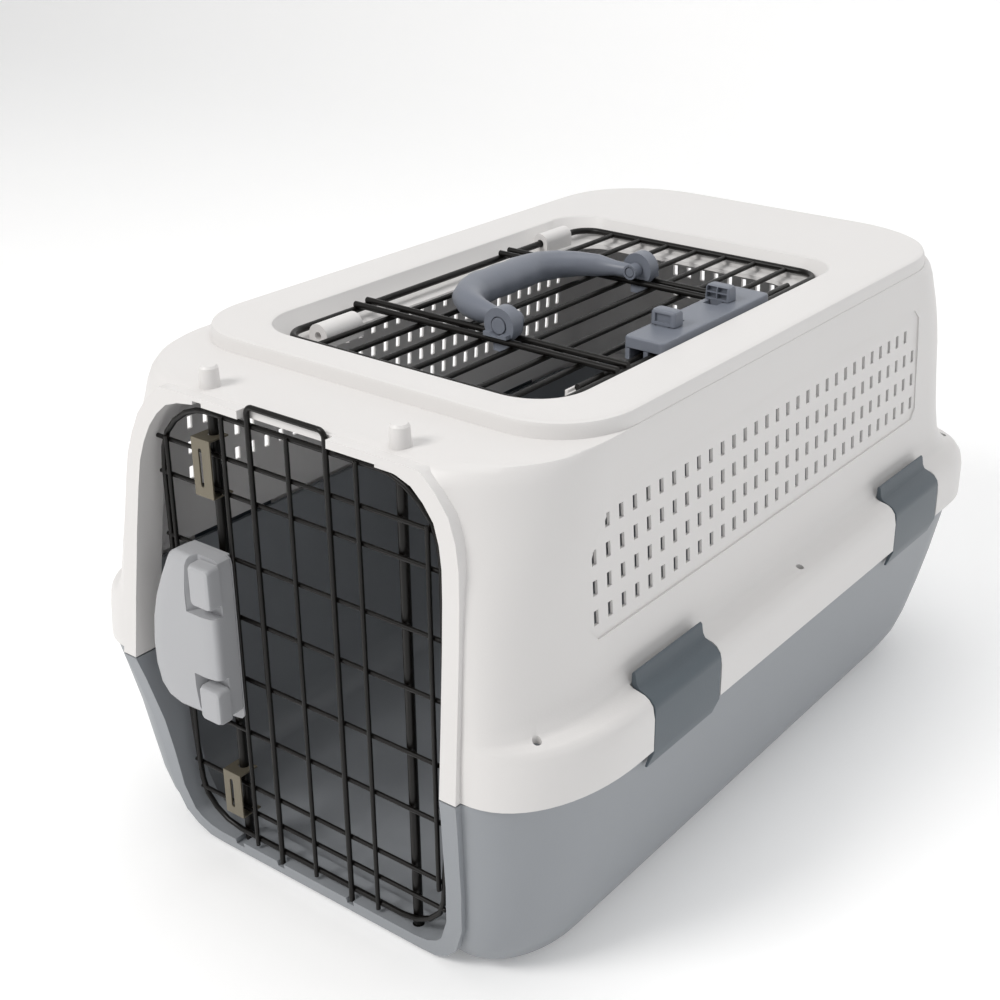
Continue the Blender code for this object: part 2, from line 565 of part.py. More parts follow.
cover = obj("front_latch_cover", loft([
    cover_ring(0.0, BACK), cover_ring(0.0, -0.2390, 0.0010), cover_ring(0.012, -0.2412, 0.0016),
    cover_ring(0.045, -0.2428, 0.0020), cover_ring(0.110, -0.2438, 0.0022), cover_ring(0.400, FRONT, 0.0022),
]), PALE)
BUTTON_X0, BUTTON_X1 = -0.0562, -0.0412
UP_Z, LO_Z = (0.1618, 0.1848), (0.0962, 0.1160)
boolean(cover, [
    prism([(BUTTON_X0 - 0.0006, POCKET), (0.0, POCKET), (0.0, -0.2600), (BUTTON_X0 - 0.0056, -0.2600),
           (BUTTON_X0 - 0.0046, -0.2430)], UP_Z[0] - LATCH_TRAVEL - 0.0005, 0.2000, "Z"),
    prism([(BUTTON_X0 - 0.0006, POCKET), (0.0, POCKET), (0.0, -0.2600), (BUTTON_X0 - 0.0036, -0.2600),
           (BUTTON_X0 - 0.0030, -0.2430)], 0.0800, LO_Z[1] + LATCH_TRAVEL + 0.0005, "Z"),
], "DIFFERENCE")
boolean(cover, [
    box(LATCH_X - 0.0003, LATCH_X + 0.0043, -0.2380, -0.2200, 0.1655, 0.1825),
    box(LATCH_X - 0.0003, LATCH_X + 0.0043, -0.2380, -0.2200, 0.1035, 0.1345),
], "DIFFERENCE")
tidy(cover, PALE)

back_plate = obj("front_latch_back_plate", loft([cover_ring(0.006, -0.2262, 0.0, PLATE_DROP),
                                                 cover_ring(0.006, BACK + 0.0004, 0.0, PLATE_DROP)]), PALE)
boolean(back_plate, [box(LATCH_X - 0.0003, LATCH_X + 0.0043, -0.24, -0.20, 0.1035, 0.1345),
                     box(LATCH_X - 0.0003, LATCH_X + 0.0043, -0.24, -0.20, 0.1655, 0.1825),
                     ] + [box(x - WIRE_R - GAP, x + WIRE_R + GAP + (0.01 if x > -0.05 else 0.0),
                              BAR_Y - WIRE_R - GAP, -0.20, 0.08, 0.20)
                          for x in (UPRIGHT_X[0], -SIDE_X)], "DIFFERENCE")
tidy(back_plate, PALE)


def slider(name, z0, z1, arm0, arm1):
    """Finger block with an arm that reaches the latch rod through the back plate."""
    y0, y1 = -0.2453, POCKET - 0.0004
    x0, x1 = BUTTON_X0, BUTTON_X1
    rings = []
    for y, d in ((y1, 0.0), (y0 + 0.0026, 0.0), (y0 + 0.0008, 0.0007), (y0, 0.0022)):
        rings.append([(x, y, z) for x, z in rounded((x0 + x1) / 2, (z0 + z1) / 2, x1 - x0 - 2 * d, z1 - z0 - 2 * d, 0.0024)])
    parts = [loft(rings)]
    if arm0 > z1 - 0.004:
        parts.append(box(LATCH_X + 0.0002, LATCH_X + 0.0038, POCKET + 0.0004, -0.2310, z1 - 0.006, arm1))
        parts.append(box(LATCH_X + 0.0002, LATCH_X + 0.0038, y1 - 0.002, -0.2340, z1 - 0.006, z1 - 0.002))
    parts.append(box(LATCH_X + 0.0002, LATCH_X + 0.0038, (y1 - 0.002) if len(parts) == 1 else -0.2320,
                     ROD_Y - ROD_R - 0.0003, arm0, arm1))
    return union(name, parts, PALE)


up_button = slider("front_latch_button_upper", *UP_Z, 0.1720, 0.1780)
lo_button = slider("front_latch_button_lower", *LO_Z, 0.1220, 0.1280)
up_rod = tidy(obj("front_latch_rod_upper",
                  tube([(LATCH_X, ROD_Y, 0.1560), (LATCH_X, ROD_Y, 0.2636)], ROD_R, 10), BLACK), BLACK)
lo_rod = tidy(obj("front_latch_rod_lower",
                  tube([(LATCH_X, ROD_Y, 0.0070), (LATCH_X, ROD_Y, 0.1380)], ROD_R, 10), BLACK), BLACK)


def coil(name, start, end, axis, r, wire, turns, mat=SPRING, n=8, sides=5):
    """Compression spring between two points on one axis."""
    pts = []
    a, b = Vector(start), Vector(end)
    t = (b - a).normalized()
    u = Vector((1, 0, 0)) if abs(t.x) < 0.9 else Vector((0, 0, 1))
    u = (u - t * u.dot(t)).normalized()
    v = t.cross(u)
    steps = int(turns * n)
    for i in range(steps + 1):
        w = 2 * math.pi * i / n
        pts.append(a + (b - a) * i / steps + u * math.cos(w) * r + v * math.sin(w) * r)
    return tidy(obj(name, tube(pts, wire, sides), mat), mat)


front_spring = coil("front_latch_spring", (LATCH_X, ROD_Y, 0.1386), (LATCH_X, ROD_Y, 0.1554), "Z", 0.0019, 0.0003, 5)

# ---------------------------------------------------------------- top door
def top_frame():
    r = 0.0140
    pts = []
    for cx, cy, rr, a0 in ((TOP_RIGHT - r, TOP_REAR - r, r, 0), (TOP_LEFT + r, TOP_REAR - r, r, 90),
                           (TOP_LEFT + r, TOP_FRONT + r, r, 180), (TOP_RIGHT - r, TOP_FRONT + r, r, 270)):
        pts += arc(cx, cy, rr, a0, a0 + 90, 5)
    return tube([(x, y, TOP_Z) for x, y in pts], TOP_R, closed=True)


top_wires = [top_frame()]
for x in LONG_X:
    top_wires.append(tube([(x, TOP_FRONT - 0.0012, LONG_Z), (x, TOP_REAR + 0.0012, LONG_Z)], 0.0015))
for pair in PAIR_Y:
    for y in pair:
        top_wires.append(tube([(TOP_LEFT - 0.0008, y, PAIR_Z), (TOP_RIGHT + 0.0008, y, PAIR_Z)], 0.0018))
top_grid = union("top_door_grid", top_wires, BLACK)

# ---------------------------------------------------------------- top latch
LX0, LX1, LY0, LY1 = 0.0705, 0.0948, -0.0560, 0.0530
LZ0, LZM, LZ1 = 0.2636, 0.2706, 0.2770


def latch_ring(z, d, x1=LX1):
    return [(x, y, z) for x, y in rounded((LX0 + x1) / 2, (LY0 + LY1) / 2, x1 - LX0 - 2 * d, LY1 - LY0 - 2 * d, 0.003)]


top_cover = obj("top_latch_cover", loft([latch_ring(LZM + GAP, 0.0), latch_ring(LZ1 - 0.0012, 0.0),
                                         latch_ring(LZ1 - 0.0003, 0.0004), latch_ring(LZ1, 0.0014)]), HANDLE)
TAB_X0, TAB_X1 = 0.0712, 0.0866
TAB_W = 0.0090
TABS = {"front": -0.0280, "rear": 0.0260}
TOP_TRAVEL = 0.0060
slots = []
for key, y in TABS.items():
    s = 1 if key == "front" else -1
    a, b = sorted((y - s * (TAB_W / 2 + GAP), y + s * (TAB_W / 2 + GAP + TOP_TRAVEL)))
    slots.append(box(0.0745, BOLT_X + 0.0025, a, b, 0.2600, 0.2800))
slots.append(box(TOP_RIGHT - TOP_R - GAP, TOP_RIGHT + TOP_R + GAP, -0.20, 0.20, 0.2600, TOP_Z + TOP_R + GAP))
for pair in PAIR_Y:
    for y in pair:
        slots.append(box(0.06, 0.0905, y - 0.0018 - GAP, y + 0.0018 + GAP, 0.2600, PAIR_Z + 0.0018 + GAP))
boolean(top_cover, slots, "DIFFERENCE")
tidy(top_cover, HANDLE)

top_base = obj("top_latch_base", loft([latch_ring(LZ0, 0.0008, 0.0868), latch_ring(LZ0 + 0.0010, 0.0, 0.0872),
                                       latch_ring(LZM, 0.0, 0.0900)]), HANDLE)
# hollow for the sliding bolts and springs, grooves for the door wires
base_cut = [box(0.0745, BOLT_X + 0.0025, LY0 - 0.002, LY1 + 0.002, BOLT_Z - BOLT_R - 0.0004, 0.2800),
            box(TOP_RIGHT - TOP_R - GAP, TOP_RIGHT + TOP_R + GAP, -0.20, 0.20, TOP_Z - TOP_R - GAP, 0.28)]
for pair in PAIR_Y:
    for y in pair:
        base_cut.append(box(0.06, TOP_RIGHT, y - 0.0018 - GAP, y + 0.0018 + GAP, PAIR_Z - 0.0018 - GAP, 0.28))
boolean(top_base, base_cut, "DIFFERENCE")
tidy(top_base, HANDLE)

top_sliders, top_bolts = {}, {}
for key, y in TABS.items():
    s = -1 if key == "front" else 1
    tab = loft([[(x, yy, z) for x, yy in rounded((TAB_X0 + TAB_X1) / 2, y, TAB_X1 - TAB_X0 - 2 * d, TAB_W - 2 * d, 0.0016)]
                for z, d in ((LZ1 + 0.0004, 0.0), (0.2838, 0.0002), (0.2850, 0.0008), (0.2856, 0.0020))])
    stem = box(0.0750, BOLT_X + 0.0020, y - TAB_W / 2 + 0.0003, y + TAB_W / 2 - 0.0003,
               BOLT_Z + BOLT_R + 0.0003, LZ1 + 0.0012)
    parts = [tab, stem]
    o = union(f"top_latch_tab_{key}", parts, HANDLE)
    cells = [] if key == "rear" else [box(TAB_X0 + 0.0030, TAB_X1 - 0.0030, y - TAB_W / 2 - 0.001, y - TAB_W / 2 + 0.0015,
                                          LZ1 + 0.0020, 0.2836)]
    for ix in range(2 if key == "rear" else 0):
        for iz in range(2):
            x0 = TAB_X0 + 0.0014 + ix * 0.0066
            z0 = LZ1 + 0.0014 + iz * 0.0035
            cells.append(box(x0, x0 + 0.0060, y - TAB_W / 2 - 0.001, y - TAB_W / 2 + 0.0035, z0, z0 + 0.0029))
    boolean(o, cells, "DIFFERENCE")
    top_sliders[key] = tidy(o, HANDLE)
    tip = (CATCH_Y[0] - 0.0085) if key == "front" else (CATCH_Y[1] + 0.0085)
    top_bolts[key] = tidy(obj(f"top_latch_bolt_{key}", tube([(BOLT_X, y - s * 0.003, BOLT_Z), (BOLT_X, tip, BOLT_Z)],
                                                            BOLT_R, 10), BLACK), BLACK)

# ---------------------------------------------------------------- handle
EYE_Y = (PIVOT_Y[0] + 0.0085, PIVOT_Y[1] - 0.0085)


def handle_body():
    """C-shaped grip lying towards the left, swept with a changing oval section and finger bumps."""
    y0, y1 = EYE_Y
    path = [
        (0.0125, y0, 0.0066, 0.0041), (0.0030, y0 + 0.0004, 0.0080, 0.0043),
        (-0.0090, y0 + 0.0018, 0.0110, 0.0066), (-0.0200, y0 + 0.0068, 0.0150, 0.0074),
        (-0.0285, y0 + 0.0150, 0.0180, 0.0082), (-0.0335, y0 + 0.0255, 0.0195, 0.0088),
        (-0.0352, y0 + 0.0350, 0.0230, 0.0090), (-0.0350, y0 + 0.0430, 0.0200, 0.0088),
        (-0.0352, y0 + 0.0520, 0.0232, 0.0090), (-0.0350, y0 + 0.0605, 0.0200, 0.0088),
        (-0.0352, y0 + 0.0690, 0.0232, 0.0090), (-0.0350, y0 + 0.0775, 0.0200, 0.0088),
        (-0.0335, y1 - 0.0245, 0.0195, 0.0086), (-0.0280, y1 - 0.0145, 0.0180, 0.0080),
        (-0.0195, y1 - 0.0068, 0.0150, 0.0072), (-0.0085, y1 - 0.0018, 0.0110, 0.0064),
        (0.0030, y1 - 0.0004, 0.0080, 0.0043), (0.0125, y1, 0.0066, 0.0041),
    ]
    pts = [Vector((x, y, PIVOT_Z)) for x, y, w, h in path]
    rings = []
    for i, (x, y, w, h) in enumerate(path):
        a, b = pts[max(0, i - 1)], pts[min(len(pts) - 1, i + 1)]
        t = (b - a).normalized()
        if i in (0, len(path) - 1):
            t = Vector((-1 if i == 0 else 1, 0, 0))
        side = Vector((t.y, -t.x, 0))
        rings.append([tuple(pts[i] + side * (w / 2 * math.cos(k)) + Vector((0, 0, h * math.sin(k))))
                      for k in [2 * math.pi * (j + 0.5) / 12 for j in range(12)]])
    return loft(rings)


handle = obj("handle_grip", handle_body(), HANDLE)
boolean(handle, [prism(circle(PIVOT_X, PIVOT_Z, 0.0043, 16), y - 0.0034, y + 0.0034) for y in EYE_Y], "UNION")
boolean(handle, [prism(circle(PIVOT_X, PIVOT_Z, 0.0031, 12), y - 0.0080, y + 0.0080) for y in EYE_Y], "DIFFERENCE")
tidy(handle, HANDLE)

brackets, pins = {}, {}
for key, y, s in (("front", PIVOT_Y[0], 1), ("rear", PIVOT_Y[1], -1)):
    w = 0.0042
    foot_z = PAIR_Z - 0.0018
    ring = prism(circle(PIVOT_X, PIVOT_Z, 0.0096, 20), y - w, y + w)
    f0, f1 = sorted((y - s * 0.0078, y + s * 0.0041))
    foot = box(PIVOT_X - 0.0075, PIVOT_X + 0.0075, f0, f1, PAIR_Z + 0.0018 + GAP, PAIR_Z + 0.0018 + 0.0026)
    stem = box(PIVOT_X - 0.0050, PIVOT_X + 0.0050, y - 0.0025, y + 0.0025, 0.2640, PAIR_Z + 0.0040)
    o = union(f"handle_bracket_{key}", [ring, foot, stem], HANDLE)
    c0, c1 = sorted((y - s * (w + 0.0060), y - s * (w - 0.0022)))
    boolean(o, [prism(circle(PIVOT_X, PIVOT_Z, 0.0050, 16), c0, c1)], "DIFFERENCE")
    boolean(o, [prism(circle(PIVOT_X, PIVOT_Z, 0.0031, 12), y - 0.01, y + 0.01)], "DIFFERENCE")
    # sits over the two cross wires without touching them
    boolean(o, [box(PIVOT_X - 0.02, PIVOT_X + 0.02, y + t * 0.0102 - 0.008, y + t * 0.0102 + 0.008 - 0.0004, 0.26,
                    PAIR_Z + 0.0018 + GAP) for t in (-1, 1)], "DIFFERENCE")
    brackets[key] = tidy(o, HANDLE)
    a, b = sorted((y - s * (w - 0.0006), y + s * 0.0118))
    shaft = prism(circle(PIVOT_X, PIVOT_Z, 0.0027, 12), a, b)
    h0, h1 = sorted((y - s * (w - 0.0018), y - s * (w + 0.0006)))
    head = prism(circle(PIVOT_X, PIVOT_Z, 0.0044, 14), h0, h1)
    pins[key] = union(f"handle_pin_{key}", [shaft, head], HANDLE)

# ---------------------------------------------------------------- joint origins
def origin(o, p):
    """Moves a part's origin onto its joint axis without moving the part."""
    p = Vector(p)
    for v in o.data.vertices:
        v.co -= p
    o.location = p


for (key, word), o in clips.items():
    side = -1 if word == "left" else 1
    origin(o, (side * 0.1570, CLIP_Y[0] if key == "front" else CLIP_Y[1], 0.1090))
for o in (front_grid, hinge_rod, guide_up, guide_lo, cover, back_plate, up_button, lo_button, up_rod, lo_rod,
          front_spring):
    origin(o, (HINGE_X, ROD_Y, 0.0))
for o in [top_grid, top_cover, top_base] + list(top_sliders.values()) + list(top_bolts.values()) + list(brackets.values()):
    origin(o, (TOP_LEFT, 0.0, TOP_Z))
for o in [handle] + list(pins.values()):
    origin(o, (PIVOT_X, 0.0, PIVOT_Z))
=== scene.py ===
"""Looks for the pet transport carrier: fine moulded shells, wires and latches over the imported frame."""
import json
import math

import bmesh
import bpy
from mathutils import Matrix, Vector

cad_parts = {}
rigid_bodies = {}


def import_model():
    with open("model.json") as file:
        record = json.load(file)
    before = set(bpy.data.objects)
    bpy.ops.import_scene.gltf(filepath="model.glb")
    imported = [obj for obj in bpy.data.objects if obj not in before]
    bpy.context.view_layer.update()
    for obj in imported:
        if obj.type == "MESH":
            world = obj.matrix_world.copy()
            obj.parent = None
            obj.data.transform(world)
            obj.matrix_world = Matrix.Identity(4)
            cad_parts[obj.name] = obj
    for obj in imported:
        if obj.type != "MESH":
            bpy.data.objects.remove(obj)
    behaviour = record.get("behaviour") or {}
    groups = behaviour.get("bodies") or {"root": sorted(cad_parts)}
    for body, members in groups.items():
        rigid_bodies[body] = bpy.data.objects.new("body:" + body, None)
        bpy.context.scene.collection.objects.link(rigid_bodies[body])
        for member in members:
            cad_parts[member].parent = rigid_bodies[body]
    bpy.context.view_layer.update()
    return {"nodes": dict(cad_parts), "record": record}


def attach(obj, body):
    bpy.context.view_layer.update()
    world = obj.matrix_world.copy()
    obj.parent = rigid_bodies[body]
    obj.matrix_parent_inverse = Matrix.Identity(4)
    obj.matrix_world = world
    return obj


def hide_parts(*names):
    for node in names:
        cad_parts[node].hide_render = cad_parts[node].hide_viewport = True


for old in list(bpy.data.objects):
    bpy.data.objects.remove(old, do_unlink=True)
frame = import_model()

# ---------------------------------------------------------------- driving dimensions
GAP = 0.0004            # clearance between neighbouring parts
SEAM_Z = 0.1150         # height where the two shells meet at the front
LEDGE_Z = 0.2673        # front ledge that carries the two pegs

DOOR_Y = -0.2240        # plane of the front door's cross wires
BAR_Y = -0.2260         # plane of its upright wires, in front of the cross wires
ROD_Y = -0.2200         # hinge rod and latch rods, behind the cross wires
HINGE_X = 0.0650        # front door's hinge rod
LATCH_X = -0.0560       # front door's latch rods
WIRE_R = 0.00120
FRAME_R = 0.0015
ROD_R = 0.0025
ROD_SLOT = 0.0031       # half width of the sockets for the latch rods
CROSS_Z = (0.2365, 0.2175, 0.1825, 0.1500, 0.1143, 0.0818, 0.0470, 0.0307)
UPRIGHT_X = (-0.0433, 0.0, 0.0433)
LOOP_X = 0.0250         # half width of the long centre loop
LOOP_R = 0.00145
SIDE_X = 0.0845
FRAME_X = 0.0905
FRAME_TOP, FRAME_BOTTOM = 0.2580, 0.0145
LATCH_TRAVEL = 0.0050

TOP_Z = 0.2682          # top door: frame wire
LONG_Z = 0.2678         # its lengthwise wires
PAIR_Z = 0.2710         # its cross wire pairs, welded on top
TOP_LEFT, TOP_RIGHT = -0.0850, 0.0880
TOP_FRONT, TOP_REAR = -0.1440, 0.1265
TOP_R = 0.0020
LONG_R, PAIR_R = 0.0015, 0.0018
LONG_X = (-0.0610, -0.0400, -0.0190, 0.0020, 0.0230, 0.0440, 0.0650)
PAIR_Y = ((-0.0876, -0.0782), (0.0404, 0.0490))

PIVOT_X, PIVOT_Z = 0.0142, 0.2786
PIVOT_Y = (-0.0829, 0.0447)

CLIP_Y = (-0.1250, 0.1362)   # centres of the side clips
CLIP_W = 0.0600
VENT_PITCH_Y, VENT_PITCH_Z = 0.0112, 0.0150
VENT_Y0, VENT_COLUMNS = -0.1710, 31
VENT_Z0, VENT_ROWS = 0.1864, 4
VENT_W, VENT_H = 0.0036, 0.0075
ROUND = 28              # points round a circle


# ---------------------------------------------------------------- materials
GRAIN_SCALE = 900.0


def node_material(name, colour, rough, metal=0.0, grain=0.02, tint=0.03, ior=1.46):
    """Moulded or coated surface: slight colour drift, fine grain in the bump and uneven gloss."""
    m = bpy.data.materials.new(name)
    m.use_nodes = True
    nt = m.node_tree
    n, l = nt.nodes, nt.links
    b = n["Principled BSDF"]
    co = n.new("ShaderNodeTexCoord")
    drift = n.new("ShaderNodeTexNoise")
    drift.inputs["Scale"].default_value = 9.0
    drift.inputs["Detail"].default_value = 3.0
    l.new(co.outputs["Object"], drift.inputs["Vector"])
    mix = n.new("ShaderNodeMix")
    mix.data_type = "RGBA"
    mix.inputs["A"].default_value = (*[c * (1 - tint) for c in colour], 1)
    mix.inputs["B"].default_value = (*[min(1.0, c * (1 + tint)) for c in colour], 1)
    l.new(drift.outputs["Fac"], mix.inputs["Factor"])
    l.new(mix.outputs["Result"], b.inputs["Base Color"])
    fine = n.new("ShaderNodeTexNoise")
    fine.inputs["Scale"].default_value = GRAIN_SCALE
    fine.inputs["Detail"].default_value = 2.0
    l.new(co.outputs["Object"], fine.inputs["Vector"])
    bump = n.new("ShaderNodeBump")
    bump.inputs["Strength"].default_value = grain
    bump.inputs["Distance"].default_value = 0.0004
    l.new(fine.outputs["Fac"], bump.inputs["Height"])
    l.new(bump.outputs["Normal"], b.inputs["Normal"])
    gloss = n.new("ShaderNodeMapRange")
    gloss.inputs["To Min"].default_value = rough - 0.05
    gloss.inputs["To Max"].default_value = rough + 0.05
    l.new(drift.outputs["Fac"], gloss.inputs["Value"])
    l.new(gloss.outputs["Result"], b.inputs["Roughness"])
    b.inputs["Metallic"].default_value = metal
    b.inputs["IOR"].default_value = ior
    return m


WHITE = node_material("shell_white_plastic", (0.70, 0.685, 0.675), 0.42, grain=0.10)
GREY = node_material("tub_grey_plastic", (0.27, 0.285, 0.305), 0.42, grain=0.12)
CLIP = node_material("clip_grey_plastic", (0.085, 0.105, 0.122), 0.40, grain=0.12)
PALE = node_material("latch_pale_grey_plastic", (0.40, 0.405, 0.42), 0.38, grain=0.08)
HANDLE = node_material("handle_grey_plastic", (0.165, 0.180, 0.215), 0.40, grain=0.10)
BLACK = node_material("wire_black_coating", (0.0035, 0.0028, 0.0022), 0.36, grain=0.05, ior=1.35)
BRONZE = node_material("guide_plate_steel", (0.175, 0.155, 0.115), 0.40, 0.6, grain=0.05)
SPRING = node_material("spring_steel", (0.45, 0.45, 0.45), 0.30, 1.0)


# ---------------------------------------------------------------- mesh helpers
def obj(name, bm, mat=None):
    bmesh.ops.remove_doubles(bm, verts=bm.verts, dist=1e-6)
    bmesh.ops.recalc_face_normals(bm, faces=bm.faces)
    if bm.calc_volume(signed=True) < 0:
        bmesh.ops.reverse_faces(bm, faces=bm.faces)
    me = bpy.data.meshes.new(name)
    bm.to_mesh(me)
    bm.free()
    o = bpy.data.objects.new(name, me)
    bpy.context.scene.collection.objects.link(o)
    if mat:
        me.materials.append(mat)
    return o


def loft(rings, closed=False):
    """Skin rings of equal point count; caps the ends unless the rings close on themselves."""
    bm = bmesh.new()
    vs = [[bm.verts.new(p) for p in r] for r in rings]
    n = len(vs[0])
    pairs = list(zip(vs, vs[1:])) + ([(vs[-1], vs[0])] if closed else [])
    for a, b in pairs:
        for i in range(n):
            j = (i + 1) % n
            bm.faces.new((a[i], a[j], b[j], b[i]))
    if not closed:
        bm.faces.new(list(reversed(vs[0])))
        bm.faces.new(vs[-1])
    return bm


def plan_ring(z, hx, yf, yr, rxf, ryf, rxr, ryr, corner=16, side=8, e=2.15):
    """Plan outline of the carrier at height z: elliptical corners, straight sides."""
    def bend(a):
        return (max(0.0, math.sin(a)) ** (2 / e), max(0.0, math.cos(a)) ** (2 / e))

    half = []
    for i in range(corner + 1):
        s, c = bend(i / corner * math.pi / 2)
        half.append((hx - rxf + rxf * s, yf + ryf - ryf * c))
    y0, y1 = yf + ryf, yr - ryr
    half += [(hx, y0 + (y1 - y0) * k / side) for k in range(1, side)]
    for i in range(corner + 1):
        s, c = bend(i / corner * math.pi / 2)
        half.append((hx - rxr + rxr * c, yr - ryr + ryr * s))
    left = [(-x, y) for x, y in reversed(half)]
    return [(x, y, z) for x, y in half + left]


def prism(outline, lo, hi, axis="Y"):
    """Outline in the plane across the axis, pulled from lo to hi."""
    def at(p, t):
        return {"X": (t, p[0], p[1]), "Y": (p[0], t, p[1]), "Z": (p[0], p[1], t)}[axis]

    return loft([[at(p, lo) for p in outline], [at(p, hi) for p in outline]])


def box(x0, x1, y0, y1, z0, z1):
    return prism([(x0, y0), (x1, y0), (x1, y1), (x0, y1)], z0, z1, "Z")


def rounded(cx, cy, w, h, r, n=6):
    """Rounded rectangle outline."""
    pts = []
    for k, (sx, sy) in enumerate(((1, 1), (-1, 1), (-1, -1), (1, -1))):
        for i in range(n + 1):
            a = math.radians(90 * k + 90 * i / n)
            pts.append((cx + sx * (w / 2 - r) + r * math.cos(a),
                        cy + sy * (h / 2 - r) + r * math.sin(a)))
    return pts


def circle(cx, cy, r):
    steps = [2 * math.pi * i / ROUND for i in range(ROUND)]
    return [(cx + r * math.cos(a), cy + r * math.sin(a)) for a in steps]


def tube(points, r, n=18, closed=False):
    """Round bar along a path of points."""
    pts = [Vector(p) for p in points]
    rings, up = [], None
    m = len(pts)
    for i, p in enumerate(pts):
        a = pts[i - 1] if (i or closed) else p
        b = pts[(i + 1) % m] if (i < m - 1 or closed) else p
        t = (b - a).normalized()
        if up is None:
            ref = Vector((0, 0, 1)) if abs(t.z) < 0.9 else Vector((0, 1, 0))
            up = (ref - t * ref.dot(t)).normalized()
        up = (up - t * up.dot(t)).normalized()
        side = t.cross(up)
        k = 1.0
        if (0 < i < m - 1) or closed:
            c = max(-1.0, min(1.0, (p - a).normalized().dot((b - p).normalized())))
            k = 1.0 / max(0.5, math.cos(math.acos(c) / 2))
        ring = []
        for j in range(n):
            w = 2 * math.pi * (j + 0.5) / n
            ring.append(p + up * math.cos(w) * r + side * math.sin(w) * r * k)
        rings.append(ring)
    return loft(rings, closed)


def arc(cx, cz, r, a0, a1, n):
    return [(cx + r * math.cos(math.radians(a0 + (a1 - a0) * i / n)),
             cz + r * math.sin(math.radians(a0 + (a1 - a0) * i / n))) for i in range(n + 1)]


def boolean(target, bms, operation):
    """Union or cut a list of meshes with the target in one exact operation."""
    cutters = [obj("cutter", b) for b in bms]
    for c in cutters:
        c.hide_render = True
        c.display_type = "WIRE"
    col = bpy.data.collections.new("cutters")
    for c in cutters:
        col.objects.link(c)
    mod = target.modifiers.new("bool", "BOOLEAN")
    mod.operation = operation
    mod.solver = "EXACT"
    mod.operand_type = "COLLECTION"
    mod.collection = col
    mod.use_self = False
    dg = bpy.context.evaluated_depsgraph_get()
    dg.update()
    me = bpy.data.meshes.new_from_object(target.evaluated_get(dg))
    target.modifiers.clear()
    old = target.data
    target.data = me
    bpy.data.meshes.remove(old)
    for c in cutters:
        data = c.data
        bpy.data.objects.remove(c, do_unlink=True)
        bpy.data.meshes.remove(data)
    bpy.data.collections.remove(col)
    return target


def tidy(o, mat):
    """Weld, drop slivers and give the part its one material."""
    bm = bmesh.new()
    bm.from_mesh(o.data)
    bmesh.ops.remove_doubles(bm, verts=bm.verts, dist=2e-6)
    bmesh.ops.dissolve_degenerate(bm, edges=bm.edges, dist=2e-6)
    bmesh.ops.recalc_face_normals(bm, faces=bm.faces)
    bm.to_mesh(o.data)
    bm.free()
    o.data.materials.clear()
    o.data.materials.append(mat)
    for p in o.data.polygons:
        p.material_index = 0
    return o


def union(name, bms, mat):
    o = obj(name, bms[0], mat)
    if len(bms) > 1:
        boolean(o, bms[1:], "UNION")
    return tidy(o, mat)


def lerp(table, z):
    """Straight-line reading of a table of (z, value)."""
    for (z0, v0), (z1, v1) in zip(table, table[1:]):
        if z <= z1:
            return v0 + (v1 - v0) * max(0.0, z - z0) / (z1 - z0)
    return table[-1][1]


# ---------------------------------------------------------------- doorway outline
FACE = ((0.0, -0.2262), (0.0095, -0.2280), (0.0180, -0.2295), (0.0320, -0.2311), (0.0550, -0.2334),
        (0.0750, -0.2363), (0.1010, -0.2418), (0.1150, -0.2453), (0.1226, -0.2449), (0.1482, -0.2417),
        (0.1869, -0.2373), (0.2247, -0.2328), (0.2440, -0.2299), (0.2575, -0.2293), (0.2740, -0.2285))
DOORWAY_TOP = ((0.1150, 0.1034), (0.1482, 0.1023), (0.1869, 0.1007), (0.2100, 0.0993), (0.2247, 0.0979),
               (0.2347, 0.0954), (0.2439, 0.0915), (0.2515, 0.0855), (0.2575, 0.0786), (0.2605, 0.0700),
               (0.2622, 0.0590))
DOORWAY_LOW = ((0.0095, 0.0700), (0.0108, 0.0780), (0.0140, 0.0840), (0.0180, 0.0880), (0.0318, 0.0931),
               (0.0549, 0.0953), (0.0748, 0.0970), (0.1009, 0.1010), (0.1150, 0.1034))


def doorway(out=0.0):
    """Closed doorway outline, right side going up, grown outward by out."""
    right = [(x, z) for z, x in DOORWAY_LOW[:-1]] + [(x, z) for z, x in DOORWAY_TOP]
    loop = right + [(-x, z) for x, z in reversed(right)]
    if not out:
        return loop
    grown, n = [], len(loop)
    for i in range(n):
        a, b = Vector(loop[i - 1]), Vector(loop[(i + 1) % n])
        t = (b - a).normalized()
        grown.append((loop[i][0] + t.y * out, min(0.2664, max(0.0012, loop[i][1] - t.x * out))))
    return grown


def doorway_band(outer, depth, keep):
    """Wall round the doorway, as wide as outer; keep picks its points by height."""
    bm = bmesh.new()
    a, b = doorway(), doorway(outer)
    idx = [i for i in range(len(a)) if keep(a[i][1])]
    whole = len(idx) == len(a)
    if not whole:
        cut = next((k for k in range(1, len(idx)) if idx[k] - idx[k - 1] != 1), 0)
        idx = idx[cut:] + idx[:cut]
    rows = []
    for i in idx:
        fa, fb = lerp(FACE, a[i][1]), lerp(FACE, b[i][1])
        (xa, za), (xb, zb) = a[i], b[i]
        corners = ((xa, fa, za), (xb, fb, zb), (xb, fb + depth, zb), (xa, fa + depth, za))
        rows.append([bm.verts.new(p) for p in corners])
    steps = list(zip(rows, rows[1:])) + ([(rows[-1], rows[0])] if whole else [])
    for p, q in steps:
        for k in range(4):
            j = (k + 1) % 4
            bm.faces.new((p[k], p[j], q[j], q[k]))
    if not whole:
        bm.faces.new(rows[0])
        bm.faces.new(list(reversed(rows[-1])))
    return bm


